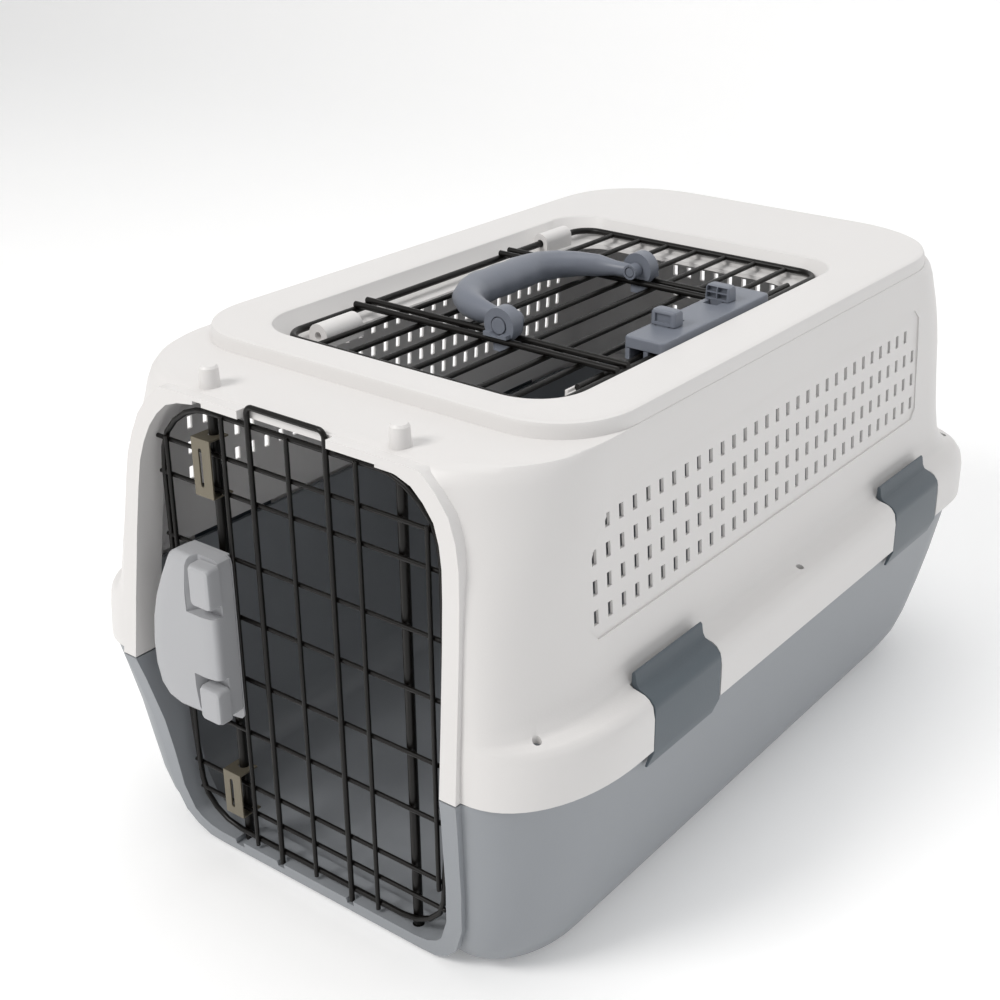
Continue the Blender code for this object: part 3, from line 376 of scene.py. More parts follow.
# ---------------------------------------------------------------- bottom shell
# z, half width, front y, rear y, corner radii: front x, front y, rear x, rear y
TUB_OUT = (
    (0.0000, 0.1180, -0.2080, 0.2000, 0.030, 0.040, 0.030, 0.040),
    (0.0012, 0.1225, -0.2130, 0.2060, 0.032, 0.045, 0.032, 0.045),
    (0.0050, 0.1262, -0.2190, 0.2120, 0.033, 0.050, 0.034, 0.048),
    (0.0100, 0.1295, -0.2230, 0.2150, 0.033, 0.054, 0.035, 0.049),
    (0.0190, 0.1345, -0.2262, 0.2180, 0.034, 0.058, 0.036, 0.050),
    (0.0320, 0.1390, -0.2280, 0.2215, 0.034, 0.061, 0.038, 0.052),
    (0.0540, 0.1440, -0.2303, 0.2280, 0.036, 0.063, 0.040, 0.054),
    (0.0750, 0.1482, -0.2331, 0.2322, 0.039, 0.066, 0.042, 0.054),
    (0.1010, 0.1525, -0.2386, 0.2375, 0.042, 0.070, 0.044, 0.055),
    (0.1120, 0.1545, -0.2412, 0.2395, 0.044, 0.071, 0.045, 0.055),
    (0.1148, 0.1545, -0.2415, 0.2395, 0.044, 0.071, 0.045, 0.055),
    (0.1150, 0.1538, -0.2372, 0.2390, 0.043, 0.071, 0.045, 0.055),
    (0.1350, 0.1538, -0.2360, 0.2390, 0.043, 0.071, 0.045, 0.055),
)
TUB_IN = (
    (0.1350, 0.1513, -0.2335, 0.2365, 0.041, 0.069, 0.043, 0.053),
    (0.1120, 0.1513, -0.2340, 0.2365, 0.041, 0.069, 0.043, 0.053),
    (0.0750, 0.1457, -0.2306, 0.2297, 0.037, 0.064, 0.040, 0.052),
    (0.0540, 0.1415, -0.2278, 0.2255, 0.034, 0.061, 0.038, 0.052),
    (0.0190, 0.1320, -0.2237, 0.2155, 0.032, 0.056, 0.034, 0.048),
    (0.0100, 0.1270, -0.2205, 0.2125, 0.031, 0.052, 0.033, 0.047),
    (0.0048, 0.1215, -0.2140, 0.2070, 0.030, 0.046, 0.031, 0.044),
    (0.0028, 0.1140, -0.2050, 0.1980, 0.028, 0.038, 0.028, 0.038),
)
tub = obj("bottom_shell", loft([plan_ring(*r) for r in TUB_OUT + TUB_IN]), GREY)
STRIP = 0.0095          # width of the raised strip round the doorway
boolean(tub, [prism(doorway(0.0015), -0.30, -0.205)], "DIFFERENCE")
boolean(tub, [doorway_band(STRIP, 0.0170, lambda z: z < SEAM_Z + 0.0001)], "UNION")
boolean(tub, [
    box(-0.1150, 0.1150, -0.30, -0.2150, SEAM_Z - GAP, 0.20),
    prism(circle(HINGE_X, ROD_Y, ROD_R + 0.0006), 0.0062, 0.0300, "Z"),
    box(LATCH_X - ROD_SLOT, LATCH_X + ROD_SLOT, -0.2500, ROD_Y + ROD_SLOT, 0.0062, 0.0300),
] + [box(s * LOOP_X - 0.0024, s * LOOP_X + 0.0024, -0.26, BAR_Y + 0.0030, 0.0062, 0.0200) for s in (-1, 1)],
    "DIFFERENCE")
tidy(tub, GREY)

# ---------------------------------------------------------------- top shell
TOP_OUT = (
    (0.1155, 0.1600, -0.2417, 0.2453, 0.0465, 0.0745, 0.050, 0.058),
    (0.1330, 0.1600, -0.2404, 0.2453, 0.0465, 0.0745, 0.050, 0.058),
    (0.1395, 0.1588, -0.2398, 0.2444, 0.0455, 0.0742, 0.049, 0.057),
    (0.1425, 0.1565, -0.2395, 0.2430, 0.0435, 0.0735, 0.047, 0.056),
    (0.1440, 0.1540, -0.2393, 0.2412, 0.0410, 0.0728, 0.045, 0.054),
    (0.1455, 0.1475, -0.2391, 0.2392, 0.0350, 0.0712, 0.043, 0.050),
    (0.1475, 0.1440, -0.2389, 0.2380, 0.0320, 0.0700, 0.041, 0.047),
    (0.1540, 0.1405, -0.2382, 0.2368, 0.0295, 0.0690, 0.040, 0.045),
    (0.1690, 0.1385, -0.2367, 0.2360, 0.0290, 0.0680, 0.040, 0.045),
    (0.1940, 0.1365, -0.2342, 0.2352, 0.0310, 0.0680, 0.040, 0.045),
    (0.2120, 0.1358, -0.2321, 0.2345, 0.0350, 0.0680, 0.041, 0.046),
    (0.2260, 0.1350, -0.2303, 0.2340, 0.0410, 0.0680, 0.043, 0.048),
    (0.2400, 0.1340, -0.2285, 0.2334, 0.0490, 0.0680, 0.047, 0.051),
    (0.2520, 0.1327, -0.2276, 0.2326, 0.0565, 0.0685, 0.052, 0.054),
    (0.2590, 0.1321, -0.2270, 0.2320, 0.0600, 0.0690, 0.055, 0.056),
    (0.2640, 0.1314, -0.2253, 0.2312, 0.0620, 0.0690, 0.058, 0.058),
    (0.2668, 0.1309, -0.2222, 0.2306, 0.0630, 0.0680, 0.062, 0.061),
    (0.2675, 0.1306, -0.2170, 0.2304, 0.0620, 0.0650, 0.068, 0.064),
    (0.2675, 0.1303, -0.1768, 0.2301, 0.0440, 0.0460, 0.069, 0.065),
    (0.2725, 0.1299, -0.1762, 0.2297, 0.0440, 0.0460, 0.069, 0.065),
    (0.2746, 0.1290, -0.1753, 0.2288, 0.0430, 0.0450, 0.068, 0.064),
    (0.2755, 0.1268, -0.1731, 0.2266, 0.0415, 0.0430, 0.066, 0.062),
    (0.2755, 0.0995, -0.1565, 0.1360, 0.0310, 0.0310, 0.027, 0.027),
    (0.2747, 0.0978, -0.1548, 0.1343, 0.0300, 0.0300, 0.0255, 0.0255),
    (0.2690, 0.0945, -0.1520, 0.1312, 0.0280, 0.0280, 0.024, 0.024),
    (0.2650, 0.0905, -0.1490, 0.1280, 0.0260, 0.0260, 0.022, 0.022),
    (0.2632, 0.0880, -0.1470, 0.1260, 0.0250, 0.0250, 0.021, 0.021),
    (0.2625, 0.0775, -0.1405, 0.1185, 0.0200, 0.0200, 0.020, 0.020),
)
TOP_IN = (
    (0.2602, 0.0765, -0.1400, 0.1180, 0.0200, 0.0200, 0.020, 0.020),
    (0.2605, 0.0885, -0.1475, 0.1265, 0.0250, 0.0250, 0.021, 0.021),
    (0.2640, 0.0940, -0.1515, 0.1308, 0.0280, 0.0280, 0.024, 0.024),
    (0.2730, 0.0990, -0.1560, 0.1355, 0.0310, 0.0310, 0.027, 0.027),
    (0.2730, 0.1262, -0.1725, 0.2260, 0.0410, 0.0430, 0.066, 0.062),
    (0.2650, 0.1276, -0.1738, 0.2274, 0.0415, 0.0435, 0.066, 0.062),
    (0.2647, 0.1284, -0.2170, 0.2282, 0.0600, 0.0630, 0.062, 0.060),
    (0.2600, 0.1297, -0.2232, 0.2296, 0.0590, 0.0670, 0.053, 0.054),
    (0.2400, 0.1315, -0.2260, 0.2309, 0.0470, 0.0660, 0.046, 0.050),
    (0.2120, 0.1333, -0.2296, 0.2320, 0.0330, 0.0660, 0.040, 0.045),
    (0.1690, 0.1360, -0.2342, 0.2335, 0.0270, 0.0660, 0.038, 0.044),
    (0.1540, 0.1378, -0.2357, 0.2343, 0.0275, 0.0670, 0.038, 0.044),
    (0.1445, 0.1420, -0.2366, 0.2360, 0.0305, 0.0680, 0.039, 0.046),
    (0.1422, 0.1480, -0.2368, 0.2385, 0.0360, 0.0700, 0.041, 0.049),
    (0.1405, 0.1545, -0.2372, 0.2410, 0.0420, 0.0715, 0.045, 0.054),
    (0.1370, 0.1570, -0.2376, 0.2427, 0.0440, 0.0725, 0.048, 0.056),
    (0.1155, 0.1572, -0.2390, 0.2427, 0.0442, 0.0727, 0.048, 0.056),
)
top = obj("top_shell", loft([plan_ring(*r) for r in TOP_OUT + TOP_IN], closed=True), WHITE)

# return wall of the doorway, pegs, hinge bosses, catches and the hinge rod's upper socket
CATCH_Y = (-0.1010, 0.0915)
BOLT_X, BOLT_Z, BOLT_R = 0.0805, 0.2668, 0.0018
boolean(top, [prism(doorway(0.0015), -0.30, -0.205)], "DIFFERENCE")
boolean(top, [doorway_band(STRIP, 0.0165, lambda z: z > SEAM_Z - 0.0001)], "UNION")
boolean(top, [box(-0.1250, 0.1250, -0.30, -0.2100, 0.05, SEAM_Z + 0.0005)], "DIFFERENCE")


def peg(cx, cy):
    return loft([[(*p, z) for p in circle(cx, cy, r)]
                 for z, r in ((LEDGE_Z - 0.0015, 0.0053), (0.2770, 0.0047), (0.2782, 0.0037))])


hinge_front = prism([(-0.0785, 0.2612), (-0.0655, 0.2612), (-0.0655, 0.2672)] +
                    arc(-0.0720, 0.2672, 0.0065, 0, 180, 24)[1:], -0.1310, -0.1035, "Y")
hinge_rear = prism([(-0.0925, 0.2612), (-0.0796, 0.2612), (-0.0796, 0.2690)] +
                   arc(-0.0850, 0.2690, 0.0054, 0, 180, 24)[1:], 0.0800, 0.1060, "Y")
catch_boxes = [box(0.0755, 0.0895, y - 0.0120, y + 0.0120, 0.2612, 0.2656) for y in CATCH_Y]
boolean(top, [peg(s * 0.0610, -0.2155) for s in (-1, 1)] + catch_boxes, "UNION")
boolean(top, [hinge_front, hinge_rear,
              prism([(-0.2130, 0.2604), (-0.2284, 0.2604), (-0.2284, 0.2636), (-0.2130, 0.2636)],
                    HINGE_X - 0.0080, HINGE_X + 0.0080, "X")], "UNION")

CLIP_CUT = CLIP_W / 2 + 0.0006
clip_cut = [box(*sorted((s * 0.1452, s * 0.20)), y - CLIP_CUT, y + CLIP_CUT, 0.10, 0.1600)
            for s in (-1, 1) for y in CLIP_Y]
bolt_cut = [box(BOLT_X - 0.0035, BOLT_X + 0.0035, y - 0.02, y + 0.02, BOLT_Z - BOLT_R - 0.0006, 0.2745)
            for y in CATCH_Y]
misc_cut = [
    prism(circle(TOP_LEFT, TOP_Z, TOP_R + 0.0005), 0.0700, 0.1200, "Y"),
    prism(circle(-0.0720, 0.2672, 0.0022), -0.1400, -0.1270, "Y"),
    prism(circle(HINGE_X, ROD_Y, ROD_R + 0.0006), 0.2500, 0.2634, "Z"),
    box(LATCH_X - ROD_SLOT, LATCH_X + ROD_SLOT, -0.2500, ROD_Y + ROD_SLOT, 0.2500, 0.2642),
    box(-LOOP_X - 0.0035, LOOP_X + 0.0035, -0.2600, BAR_Y + 0.0018, 0.2500, 0.2800),
]
boolean(top, misc_cut + bolt_cut, "DIFFERENCE")
boolean(top, clip_cut, "DIFFERENCE")
screw_cut = [prism(circle(s * x, y, 0.0022), 0.1250, 0.1600, "Z")
             for s in (-1, 1) for x, y in ((0.1380, -0.2180), (0.1505, 0.0025), (0.1364, 0.2252))]
boolean(top, screw_cut, "DIFFERENCE")


def vents():
    cut = []
    for r in range(VENT_ROWS):
        z = VENT_Z0 + r * VENT_PITCH_Z
        for c in range(VENT_COLUMNS):
            if r == VENT_ROWS - 1 and c in (0, VENT_COLUMNS - 1):
                continue
            y = VENT_Y0 + c * VENT_PITCH_Y
            for s in (-1, 1):
                cut.append(box(*sorted((s * 0.120, s * 0.150)), y - VENT_W / 2, y + VENT_W / 2,
                               z - VENT_H / 2, z + VENT_H / 2))
        for c in range(-7, 8):
            x = c * VENT_PITCH_Y
            cut.append(box(x - VENT_W / 2, x + VENT_W / 2, 0.2150, 0.2450, z - VENT_H / 2, z + VENT_H / 2))
    return cut


def vent_panel(side, depth=0.0009):
    """Shallow recess round the side vents, its top front corner drawn as a wide arch."""
    low, high = 0.1755, 0.2455
    outline = [(-0.1770, low + 0.006), (-0.1710, low), (0.1650, low), (0.1710, low + 0.006),
               (0.1710, high - 0.006), (0.1650, high), (-0.1250, high)]
    outline += [(-0.1250 - 0.0520 * math.sin(a), high - 0.0420 * (1 - math.cos(a)))
                for a in [math.radians(15 * k) for k in range(1, 7)]]

    def wall(z):
        return 0.1379 - (z - 0.1755) * (0.1379 - 0.1337) / (0.2455 - 0.1755)

    inner = [(side * (wall(z) - depth), y, z) for y, z in outline]
    outer = [(side * 0.160, y, z) for y, z in outline]
    return loft([inner, outer])


boolean(top, [vent_panel(-1), vent_panel(1)], "DIFFERENCE")
boolean(top, vents(), "DIFFERENCE")
tidy(top, WHITE)


# ---------------------------------------------------------------- side clips
# profile across the wall: distance from the centre plane and height, going round the clip
CLIP_PROFILE = (
    (0.1560, 0.1040), (0.1600, 0.1140), (0.1600, 0.1370), (0.1592, 0.1400), (0.1568, 0.1428),
    (0.1530, 0.1446), (0.1500, 0.1458), (0.1488, 0.1480), (0.1480, 0.1528), (0.1470, 0.1540),
    (0.1458, 0.1528), (0.1456, 0.1470), (0.1470, 0.1440), (0.1520, 0.1424), (0.1552, 0.1404),
    (0.1572, 0.1368), (0.1573, 0.1140), (0.1546, 0.1040),
)


def clip(name, side, yc):
    outline = [(side * x, z) for x, z in CLIP_PROFILE]
    tidy(obj(name, prism(outline, yc - CLIP_W / 2, yc + CLIP_W / 2), CLIP), CLIP)


for key, yc in (("front", CLIP_Y[0]), ("rear", CLIP_Y[1])):
    for side, word in ((-1, "left"), (1, "right")):
        clip(f"clip_{key}_{word}", side, yc)

# ---------------------------------------------------------------- front door
def upright(x, z0, z1):
    return tube([(x, BAR_Y, z0), (x, BAR_Y, z1)], WIRE_R)


def cross(z, half):
    return tube([(-half, DOOR_Y, z), (half, DOOR_Y, z)], WIRE_R)


def door_frame():
    """Closed frame wire following the doorway, with wide top corners."""
    half = [(0.0580, 0.0145), (0.0680, 0.0162), (0.0765, 0.0207), (0.0830, 0.0275), (0.0858, 0.0360),
            (0.0885, 0.0700), (FRAME_X, 0.1200), (FRAME_X, 0.2200), (0.0893, 0.2310), (0.0855, 0.2405),
            (0.0790, 0.2480), (0.0705, 0.2540), (0.0620, 0.2572), (0.0560, 0.2580)]
    pts = half + [(-x, z) for x, z in reversed(half)]
    return tube([(x, DOOR_Y, z) for x, z in pts], FRAME_R, closed=True)


def loop_wire():
    """Long centre loop, its top standing in the notch of the doorway's edge."""
    r, top_z = 0.0036, 0.2686
    pts = [(-LOOP_X, 0.0080)] + [(x, z) for x, z in arc(-LOOP_X + r, top_z - r, r, 180, 90, 12)]
    return tube([(x, BAR_Y, z) for x, z in pts + [(-x, z) for x, z in reversed(pts)]], LOOP_R)


wires = [door_frame(), loop_wire()]
for z in CROSS_Z:
    half = 0.0932 if z > 0.06 else (0.0895 if z > 0.04 else 0.0868)
    wires.append(cross(z, half))
for x in UPRIGHT_X:
    wires.append(upright(x, FRAME_BOTTOM - 0.0030, FRAME_TOP + 0.0010))
for x in (-SIDE_X, SIDE_X):
    wires.append(upright(x, 0.0430, 0.2390))
union("front_door_grid", wires, BLACK)



def rod(name, x, z0, z1):
    tidy(obj(name, tube([(x, ROD_Y, z0), (x, ROD_Y, z1)], ROD_R), BLACK), BLACK)


rod("front_door_hinge_rod", HINGE_X, 0.0070, 0.2626)


def guide(name, z0, z1):
    """Stamped bracket whose two flanges keep the latch rod on the door, with a slot in its face."""
    w, t, face, back = 0.0130, 0.0010, -0.2292, -0.2166
    side = [(face, z0), (back, z0), (back, z0 + t), (face + t, z0 + t), (face + t, z1 - t), (back, z1 - t),
            (back, z1), (face, z1)]
    o = obj(name, prism(side, LATCH_X - w / 2, LATCH_X + w / 2, "X"), BRONZE)
    slot = rounded(LATCH_X - 0.0008, (z0 + z1) / 2, 0.0022, (z1 - z0) * 0.66, 0.0010, 2)
    boolean(o, [prism(slot, face - 0.002, face + 0.002),
                prism(circle(LATCH_X, ROD_Y, ROD_R + 0.0005), z0 - 0.01, z1 + 0.01, "Z")], "DIFFERENCE")
    tidy(o, BRONZE)


guide("front_guide_plate_upper", 0.2145, 0.2455)
guide("front_guide_plate_lower", 0.0275, 0.0545)

# ---------------------------------------------------------------- front latch
COVER = ((-0.0420, 0.1000), (-0.0420, 0.1820), (-0.0428, 0.1852), (-0.0455, 0.1866), (-0.0700, 0.1866),
         (-0.0738, 0.1845), (-0.0795, 0.1720), (-0.0848, 0.1590), (-0.0885, 0.1450), (-0.0908, 0.1290),
         (-0.0911, 0.1150), (-0.0890, 0.1035), (-0.0840, 0.0972), (-0.0758, 0.0948), (-0.0650, 0.0952),
         (-0.0560, 0.0962), (-0.0480, 0.0968), (-0.0440, 0.0976))
ARM_X = (LATCH_X + 0.0002, LATCH_X + 0.0038)        # the buttons' arms, and the slots they move in
ARM_SLOT = (LATCH_X - 0.0003, LATCH_X + 0.0043)
ARM_TRACKS = ((0.1035, 0.1345), (0.1655, 0.1825))
PLATE_DROP = 0.0055     # the back plate reaches lower than the cover behind the lower button
COVER_C = (-0.0640, 0.1410)
BACK = -0.2290          # back face of the cover, resting on its back plate
FRONT = -0.2442
POCKET = -0.2366        # floor of the two finger pockets


def cover_ring(k, y, drop=0.0, low=0.0):
    """Cover outline drawn in towards its middle by k, leaning with the crown of the face."""
    cx, cz = COVER_C
    ring = []
    for x, z in COVER:
        px, pz = cx + (x - cx) * (1 - k), cz + (z - cz) * (1 - k)
        if low and x > -0.0600 and z < 0.1100:
            pz -= low
        ring.append((px, y + drop * ((pz - cz) / 0.051) ** 2, pz))
    return ring


cover = obj("front_latch_cover", loft([
    cover_ring(0.0, BACK), cover_ring(0.0, -0.2390, 0.0010), cover_ring(0.012, -0.2412, 0.0016),
    cover_ring(0.045, -0.2428, 0.0020), cover_ring(0.110, -0.2438, 0.0022), cover_ring(0.400, FRONT, 0.0022),
]), PALE)
BUTTON_X0, BUTTON_X1 = -0.0562, -0.0412
UP_Z, LO_Z = (0.1618, 0.1848), (0.0962, 0.1160)
boolean(cover, [
    prism([(BUTTON_X0 - 0.0006, POCKET), (0.0, POCKET), (0.0, -0.2600), (BUTTON_X0 - 0.0056, -0.2600),
           (BUTTON_X0 - 0.0046, -0.2430)], UP_Z[0] - LATCH_TRAVEL - 0.0005, 0.2000, "Z"),
    prism([(BUTTON_X0 - 0.0006, POCKET), (0.0, POCKET), (0.0, -0.2600), (BUTTON_X0 - 0.0036, -0.2600),
           (BUTTON_X0 - 0.0030, -0.2430)], 0.0800, LO_Z[1] + LATCH_TRAVEL + 0.0005, "Z"),
], "DIFFERENCE")
boolean(cover, [box(*ARM_SLOT, -0.2380, -0.2200, *track) for track in reversed(ARM_TRACKS)], "DIFFERENCE")
tidy(cover, PALE)

back_plate = obj("front_latch_back_plate", loft([cover_ring(0.006, -0.2262, 0.0, PLATE_DROP),
                                                 cover_ring(0.006, BACK + 0.0004, 0.0, PLATE_DROP)]), PALE)
wire_grooves = [box(x - WIRE_R - GAP, x + WIRE_R + GAP + (0.01 if x > -0.05 else 0.0),
                    BAR_Y - WIRE_R - GAP, -0.20, 0.08, 0.20) for x in (UPRIGHT_X[0], -SIDE_X)]
boolean(back_plate, [box(*ARM_SLOT, -0.24, -0.20, *track) for track in ARM_TRACKS] + wire_grooves, "DIFFERENCE")
tidy(back_plate, PALE)


def slider(name, z0, z1, arm0, arm1):
    """Finger block with an arm that reaches the latch rod through the back plate."""
    y0, y1 = -0.2453, POCKET - 0.0004
    x0, x1 = BUTTON_X0, BUTTON_X1
    rings = []
    for y, d in ((y1, 0.0), (y0 + 0.0026, 0.0), (y0 + 0.0008, 0.0007), (y0, 0.0022)):
        outline = rounded((x0 + x1) / 2, (z0 + z1) / 2, x1 - x0 - 2 * d, z1 - z0 - 2 * d, 0.0024)
        rings.append([(x, y, z) for x, z in outline])
    parts = [loft(rings)]
    if arm0 > z1 - 0.004:
        parts.append(box(*ARM_X, POCKET + 0.0004, -0.2310, z1 - 0.006, arm1))
        parts.append(box(*ARM_X, y1 - 0.002, -0.2340, z1 - 0.006, z1 - 0.002))
    arm_front = (y1 - 0.002) if len(parts) == 1 else -0.2320
    parts.append(box(*ARM_X, arm_front, ROD_Y - ROD_R - 0.0003, arm0, arm1))
    union(name, parts, PALE)


slider("front_latch_button_upper", *UP_Z, 0.1720, 0.1780)
slider("front_latch_button_lower", *LO_Z, 0.1220, 0.1280)
rod("front_latch_rod_upper", LATCH_X, 0.1560, 0.2636)
rod("front_latch_rod_lower", LATCH_X, 0.0070, 0.1380)


def coil(name, start, end, r, wire, turns):
    """Compression spring between two points."""
    n = 8                   # points per turn
    pts = []
    a, b = Vector(start), Vector(end)
    t = (b - a).normalized()
    u = Vector((1, 0, 0)) if abs(t.x) < 0.9 else Vector((0, 0, 1))
    u = (u - t * u.dot(t)).normalized()
    v = t.cross(u)
    steps = int(turns * n)
    for i in range(steps + 1):
        w = 2 * math.pi * i / n
        pts.append(a + (b - a) * i / steps + u * math.cos(w) * r + v * math.sin(w) * r)
    return tidy(obj(name, tube(pts, wire, 9), SPRING), SPRING)


coil("front_latch_spring", (LATCH_X, ROD_Y, 0.1386), (LATCH_X, ROD_Y, 0.1554), 0.0019, 0.0003, 5)

# ---------------------------------------------------------------- top door
def top_frame():
    r = 0.0140
    pts = []
    for cx, cy, a0 in ((TOP_RIGHT - r, TOP_REAR - r, 0), (TOP_LEFT + r, TOP_REAR - r, 90),
                       (TOP_LEFT + r, TOP_FRONT + r, 180), (TOP_RIGHT - r, TOP_FRONT + r, 270)):
        pts += arc(cx, cy, r, a0, a0 + 90, 15)
    return tube([(x, y, TOP_Z) for x, y in pts], TOP_R, closed=True)


top_wires = [top_frame()]
for x in LONG_X:
    top_wires.append(tube([(x, TOP_FRONT - 0.0012, LONG_Z), (x, TOP_REAR + 0.0012, LONG_Z)], LONG_R))
for pair in PAIR_Y:
    for y in pair:
        top_wires.append(tube([(TOP_LEFT - 0.0008, y, PAIR_Z), (TOP_RIGHT + 0.0008, y, PAIR_Z)], PAIR_R))
union("top_door_grid", top_wires, BLACK)

# ---------------------------------------------------------------- top latch
LX0, LX1, LY0, LY1 = 0.0705, 0.0948, -0.0560, 0.0530
LZ0, LZM, LZ1 = 0.2636, 0.2706, 0.2770


def latch_ring(z, d, x1=LX1):
    outline = rounded((LX0 + x1) / 2, (LY0 + LY1) / 2, x1 - LX0 - 2 * d, LY1 - LY0 - 2 * d, 0.003)
    return [(x, y, z) for x, y in outline]


top_cover = obj("top_latch_cover", loft([latch_ring(LZM + GAP, 0.0), latch_ring(LZ1 - 0.0012, 0.0),
                                         latch_ring(LZ1 - 0.0003, 0.0004), latch_ring(LZ1, 0.0014)]), HANDLE)
TAB_X0, TAB_X1 = 0.0712, 0.0866
TAB_W = 0.0090
TABS = {"front": -0.0280, "rear": 0.0260}
TOP_TRAVEL = 0.0060
slots = []
for key, y in TABS.items():
    s = 1 if key == "front" else -1
    a, b = sorted((y - s * (TAB_W / 2 + GAP), y + s * (TAB_W / 2 + GAP + TOP_TRAVEL)))
    slots.append(box(0.0745, BOLT_X + 0.0025, a, b, 0.2600, 0.2800))
RIM = (TOP_RIGHT - TOP_R - GAP, TOP_RIGHT + TOP_R + GAP)      # groove for the frame wire
slots.append(box(*RIM, -0.20, 0.20, 0.2600, TOP_Z + TOP_R + GAP))
for pair in PAIR_Y:
    for y in pair:
        slots.append(box(0.06, 0.0905, y - PAIR_R - GAP, y + PAIR_R + GAP, 0.2600,
                         PAIR_Z + PAIR_R + GAP))
boolean(top_cover, slots, "DIFFERENCE")
tidy(top_cover, HANDLE)

top_base = obj("top_latch_base", loft([latch_ring(LZ0, 0.0008, 0.0868), latch_ring(LZ0 + 0.0010, 0.0, 0.0872),
                                       latch_ring(LZM, 0.0, 0.0900)]), HANDLE)
# hollow for the sliding bolts and springs, grooves for the door wires
base_cut = [box(0.0745, BOLT_X + 0.0025, LY0 - 0.002, LY1 + 0.002, BOLT_Z - BOLT_R - 0.0004, 0.2800),
            box(*RIM, -0.20, 0.20, TOP_Z - TOP_R - GAP, 0.28)]
for pair in PAIR_Y:
    for y in pair:
        base_cut.append(box(0.06, TOP_RIGHT, y - PAIR_R - GAP, y + PAIR_R + GAP,
                            PAIR_Z - PAIR_R - GAP, 0.28))
boolean(top_base, base_cut, "DIFFERENCE")
tidy(top_base, HANDLE)

for key, y in TABS.items():
    s = -1 if key == "front" else 1
    tab_rings = []
    for z, d in ((LZ1 + 0.0004, 0.0), (0.2838, 0.0002), (0.2850, 0.0008), (0.2856, 0.0020)):
        outline = rounded((TAB_X0 + TAB_X1) / 2, y, TAB_X1 - TAB_X0 - 2 * d, TAB_W - 2 * d, 0.0016)
        tab_rings.append([(x, yy, z) for x, yy in outline])
    stem = box(0.0750, BOLT_X + 0.0020, y - TAB_W / 2 + 0.0003, y + TAB_W / 2 - 0.0003,
               BOLT_Z + BOLT_R + 0.0003, LZ1 + 0.0012)
    o = union(f"top_latch_tab_{key}", [loft(tab_rings), stem], HANDLE)
    face = y - TAB_W / 2
    cells = []
    if key == "front":
        cells = [box(TAB_X0 + 0.0030, TAB_X1 - 0.0030, face - 0.001, face + 0.0015, LZ1 + 0.0020, 0.2836)]
    for ix in range(2 if key == "rear" else 0):
        for iz in range(2):
            x0 = TAB_X0 + 0.0014 + ix * 0.0066
            z0 = LZ1 + 0.0014 + iz * 0.0035
            cells.append(box(x0, x0 + 0.0060, face - 0.001, face + 0.0035, z0, z0 + 0.0029))
    boolean(o, cells, "DIFFERENCE")
    tidy(o, HANDLE)
    tip = (CATCH_Y[0] - 0.0085) if key == "front" else (CATCH_Y[1] + 0.0085)
    bolt = tube([(BOLT_X, y - s * 0.003, BOLT_Z), (BOLT_X, tip, BOLT_Z)], BOLT_R)
    tidy(obj(f"top_latch_bolt_{key}", bolt, BLACK), BLACK)

# ---------------------------------------------------------------- handle
EYE_Y = (PIVOT_Y[0] + 0.0085, PIVOT_Y[1] - 0.0085)


def handle_body():
    """C-shaped grip lying towards the left, swept with a changing oval section and finger bumps."""
    y0, y1 = EYE_Y
    path = [
        (0.0125, y0, 0.0066, 0.0041), (0.0030, y0 + 0.0004, 0.0080, 0.0043),
        (-0.0090, y0 + 0.0018, 0.0110, 0.0066), (-0.0200, y0 + 0.0068, 0.0150, 0.0074),
        (-0.0285, y0 + 0.0150, 0.0180, 0.0082), (-0.0335, y0 + 0.0255, 0.0195, 0.0088),
        (-0.0352, y0 + 0.0350, 0.0230, 0.0090), (-0.0350, y0 + 0.0430, 0.0200, 0.0088),
        (-0.0352, y0 + 0.0520, 0.0232, 0.0090), (-0.0350, y0 + 0.0605, 0.0200, 0.0088),
        (-0.0352, y0 + 0.0690, 0.0232, 0.0090), (-0.0350, y0 + 0.0775, 0.0200, 0.0088),
        (-0.0335, y1 - 0.0245, 0.0195, 0.0086), (-0.0280, y1 - 0.0145, 0.0180, 0.0080),
        (-0.0195, y1 - 0.0068, 0.0150, 0.0072), (-0.0085, y1 - 0.0018, 0.0110, 0.0064),
        (0.0030, y1 - 0.0004, 0.0080, 0.0043), (0.0125, y1, 0.0066, 0.0041),
    ]
    pts = [Vector((x, y, PIVOT_Z)) for x, y, w, h in path]
    rings = []
    for i, (x, y, w, h) in enumerate(path):
        a, b = pts[max(0, i - 1)], pts[min(len(pts) - 1, i + 1)]
        t = (b - a).normalized()
        if i in (0, len(path) - 1):
            t = Vector((-1 if i == 0 else 1, 0, 0))
        side = Vector((t.y, -t.x, 0))
        rings.append([tuple(pts[i] + side * (w / 2 * math.cos(k)) + Vector((0, 0, h * math.sin(k))))
                      for k in [2 * math.pi * (j + 0.5) / ROUND for j in range(ROUND)]])
    return loft(rings)


def hub(r, y0, y1):
    """Short round bar on the handle's axis."""
    return prism(circle(PIVOT_X, PIVOT_Z, r), y0, y1)


handle = obj("handle_grip", handle_body(), HANDLE)
boolean(handle, [hub(0.0043, y - 0.0034, y + 0.0034) for y in EYE_Y], "UNION")
boolean(handle, [hub(0.0031, y - 0.0080, y + 0.0080) for y in EYE_Y], "DIFFERENCE")
tidy(handle, HANDLE)

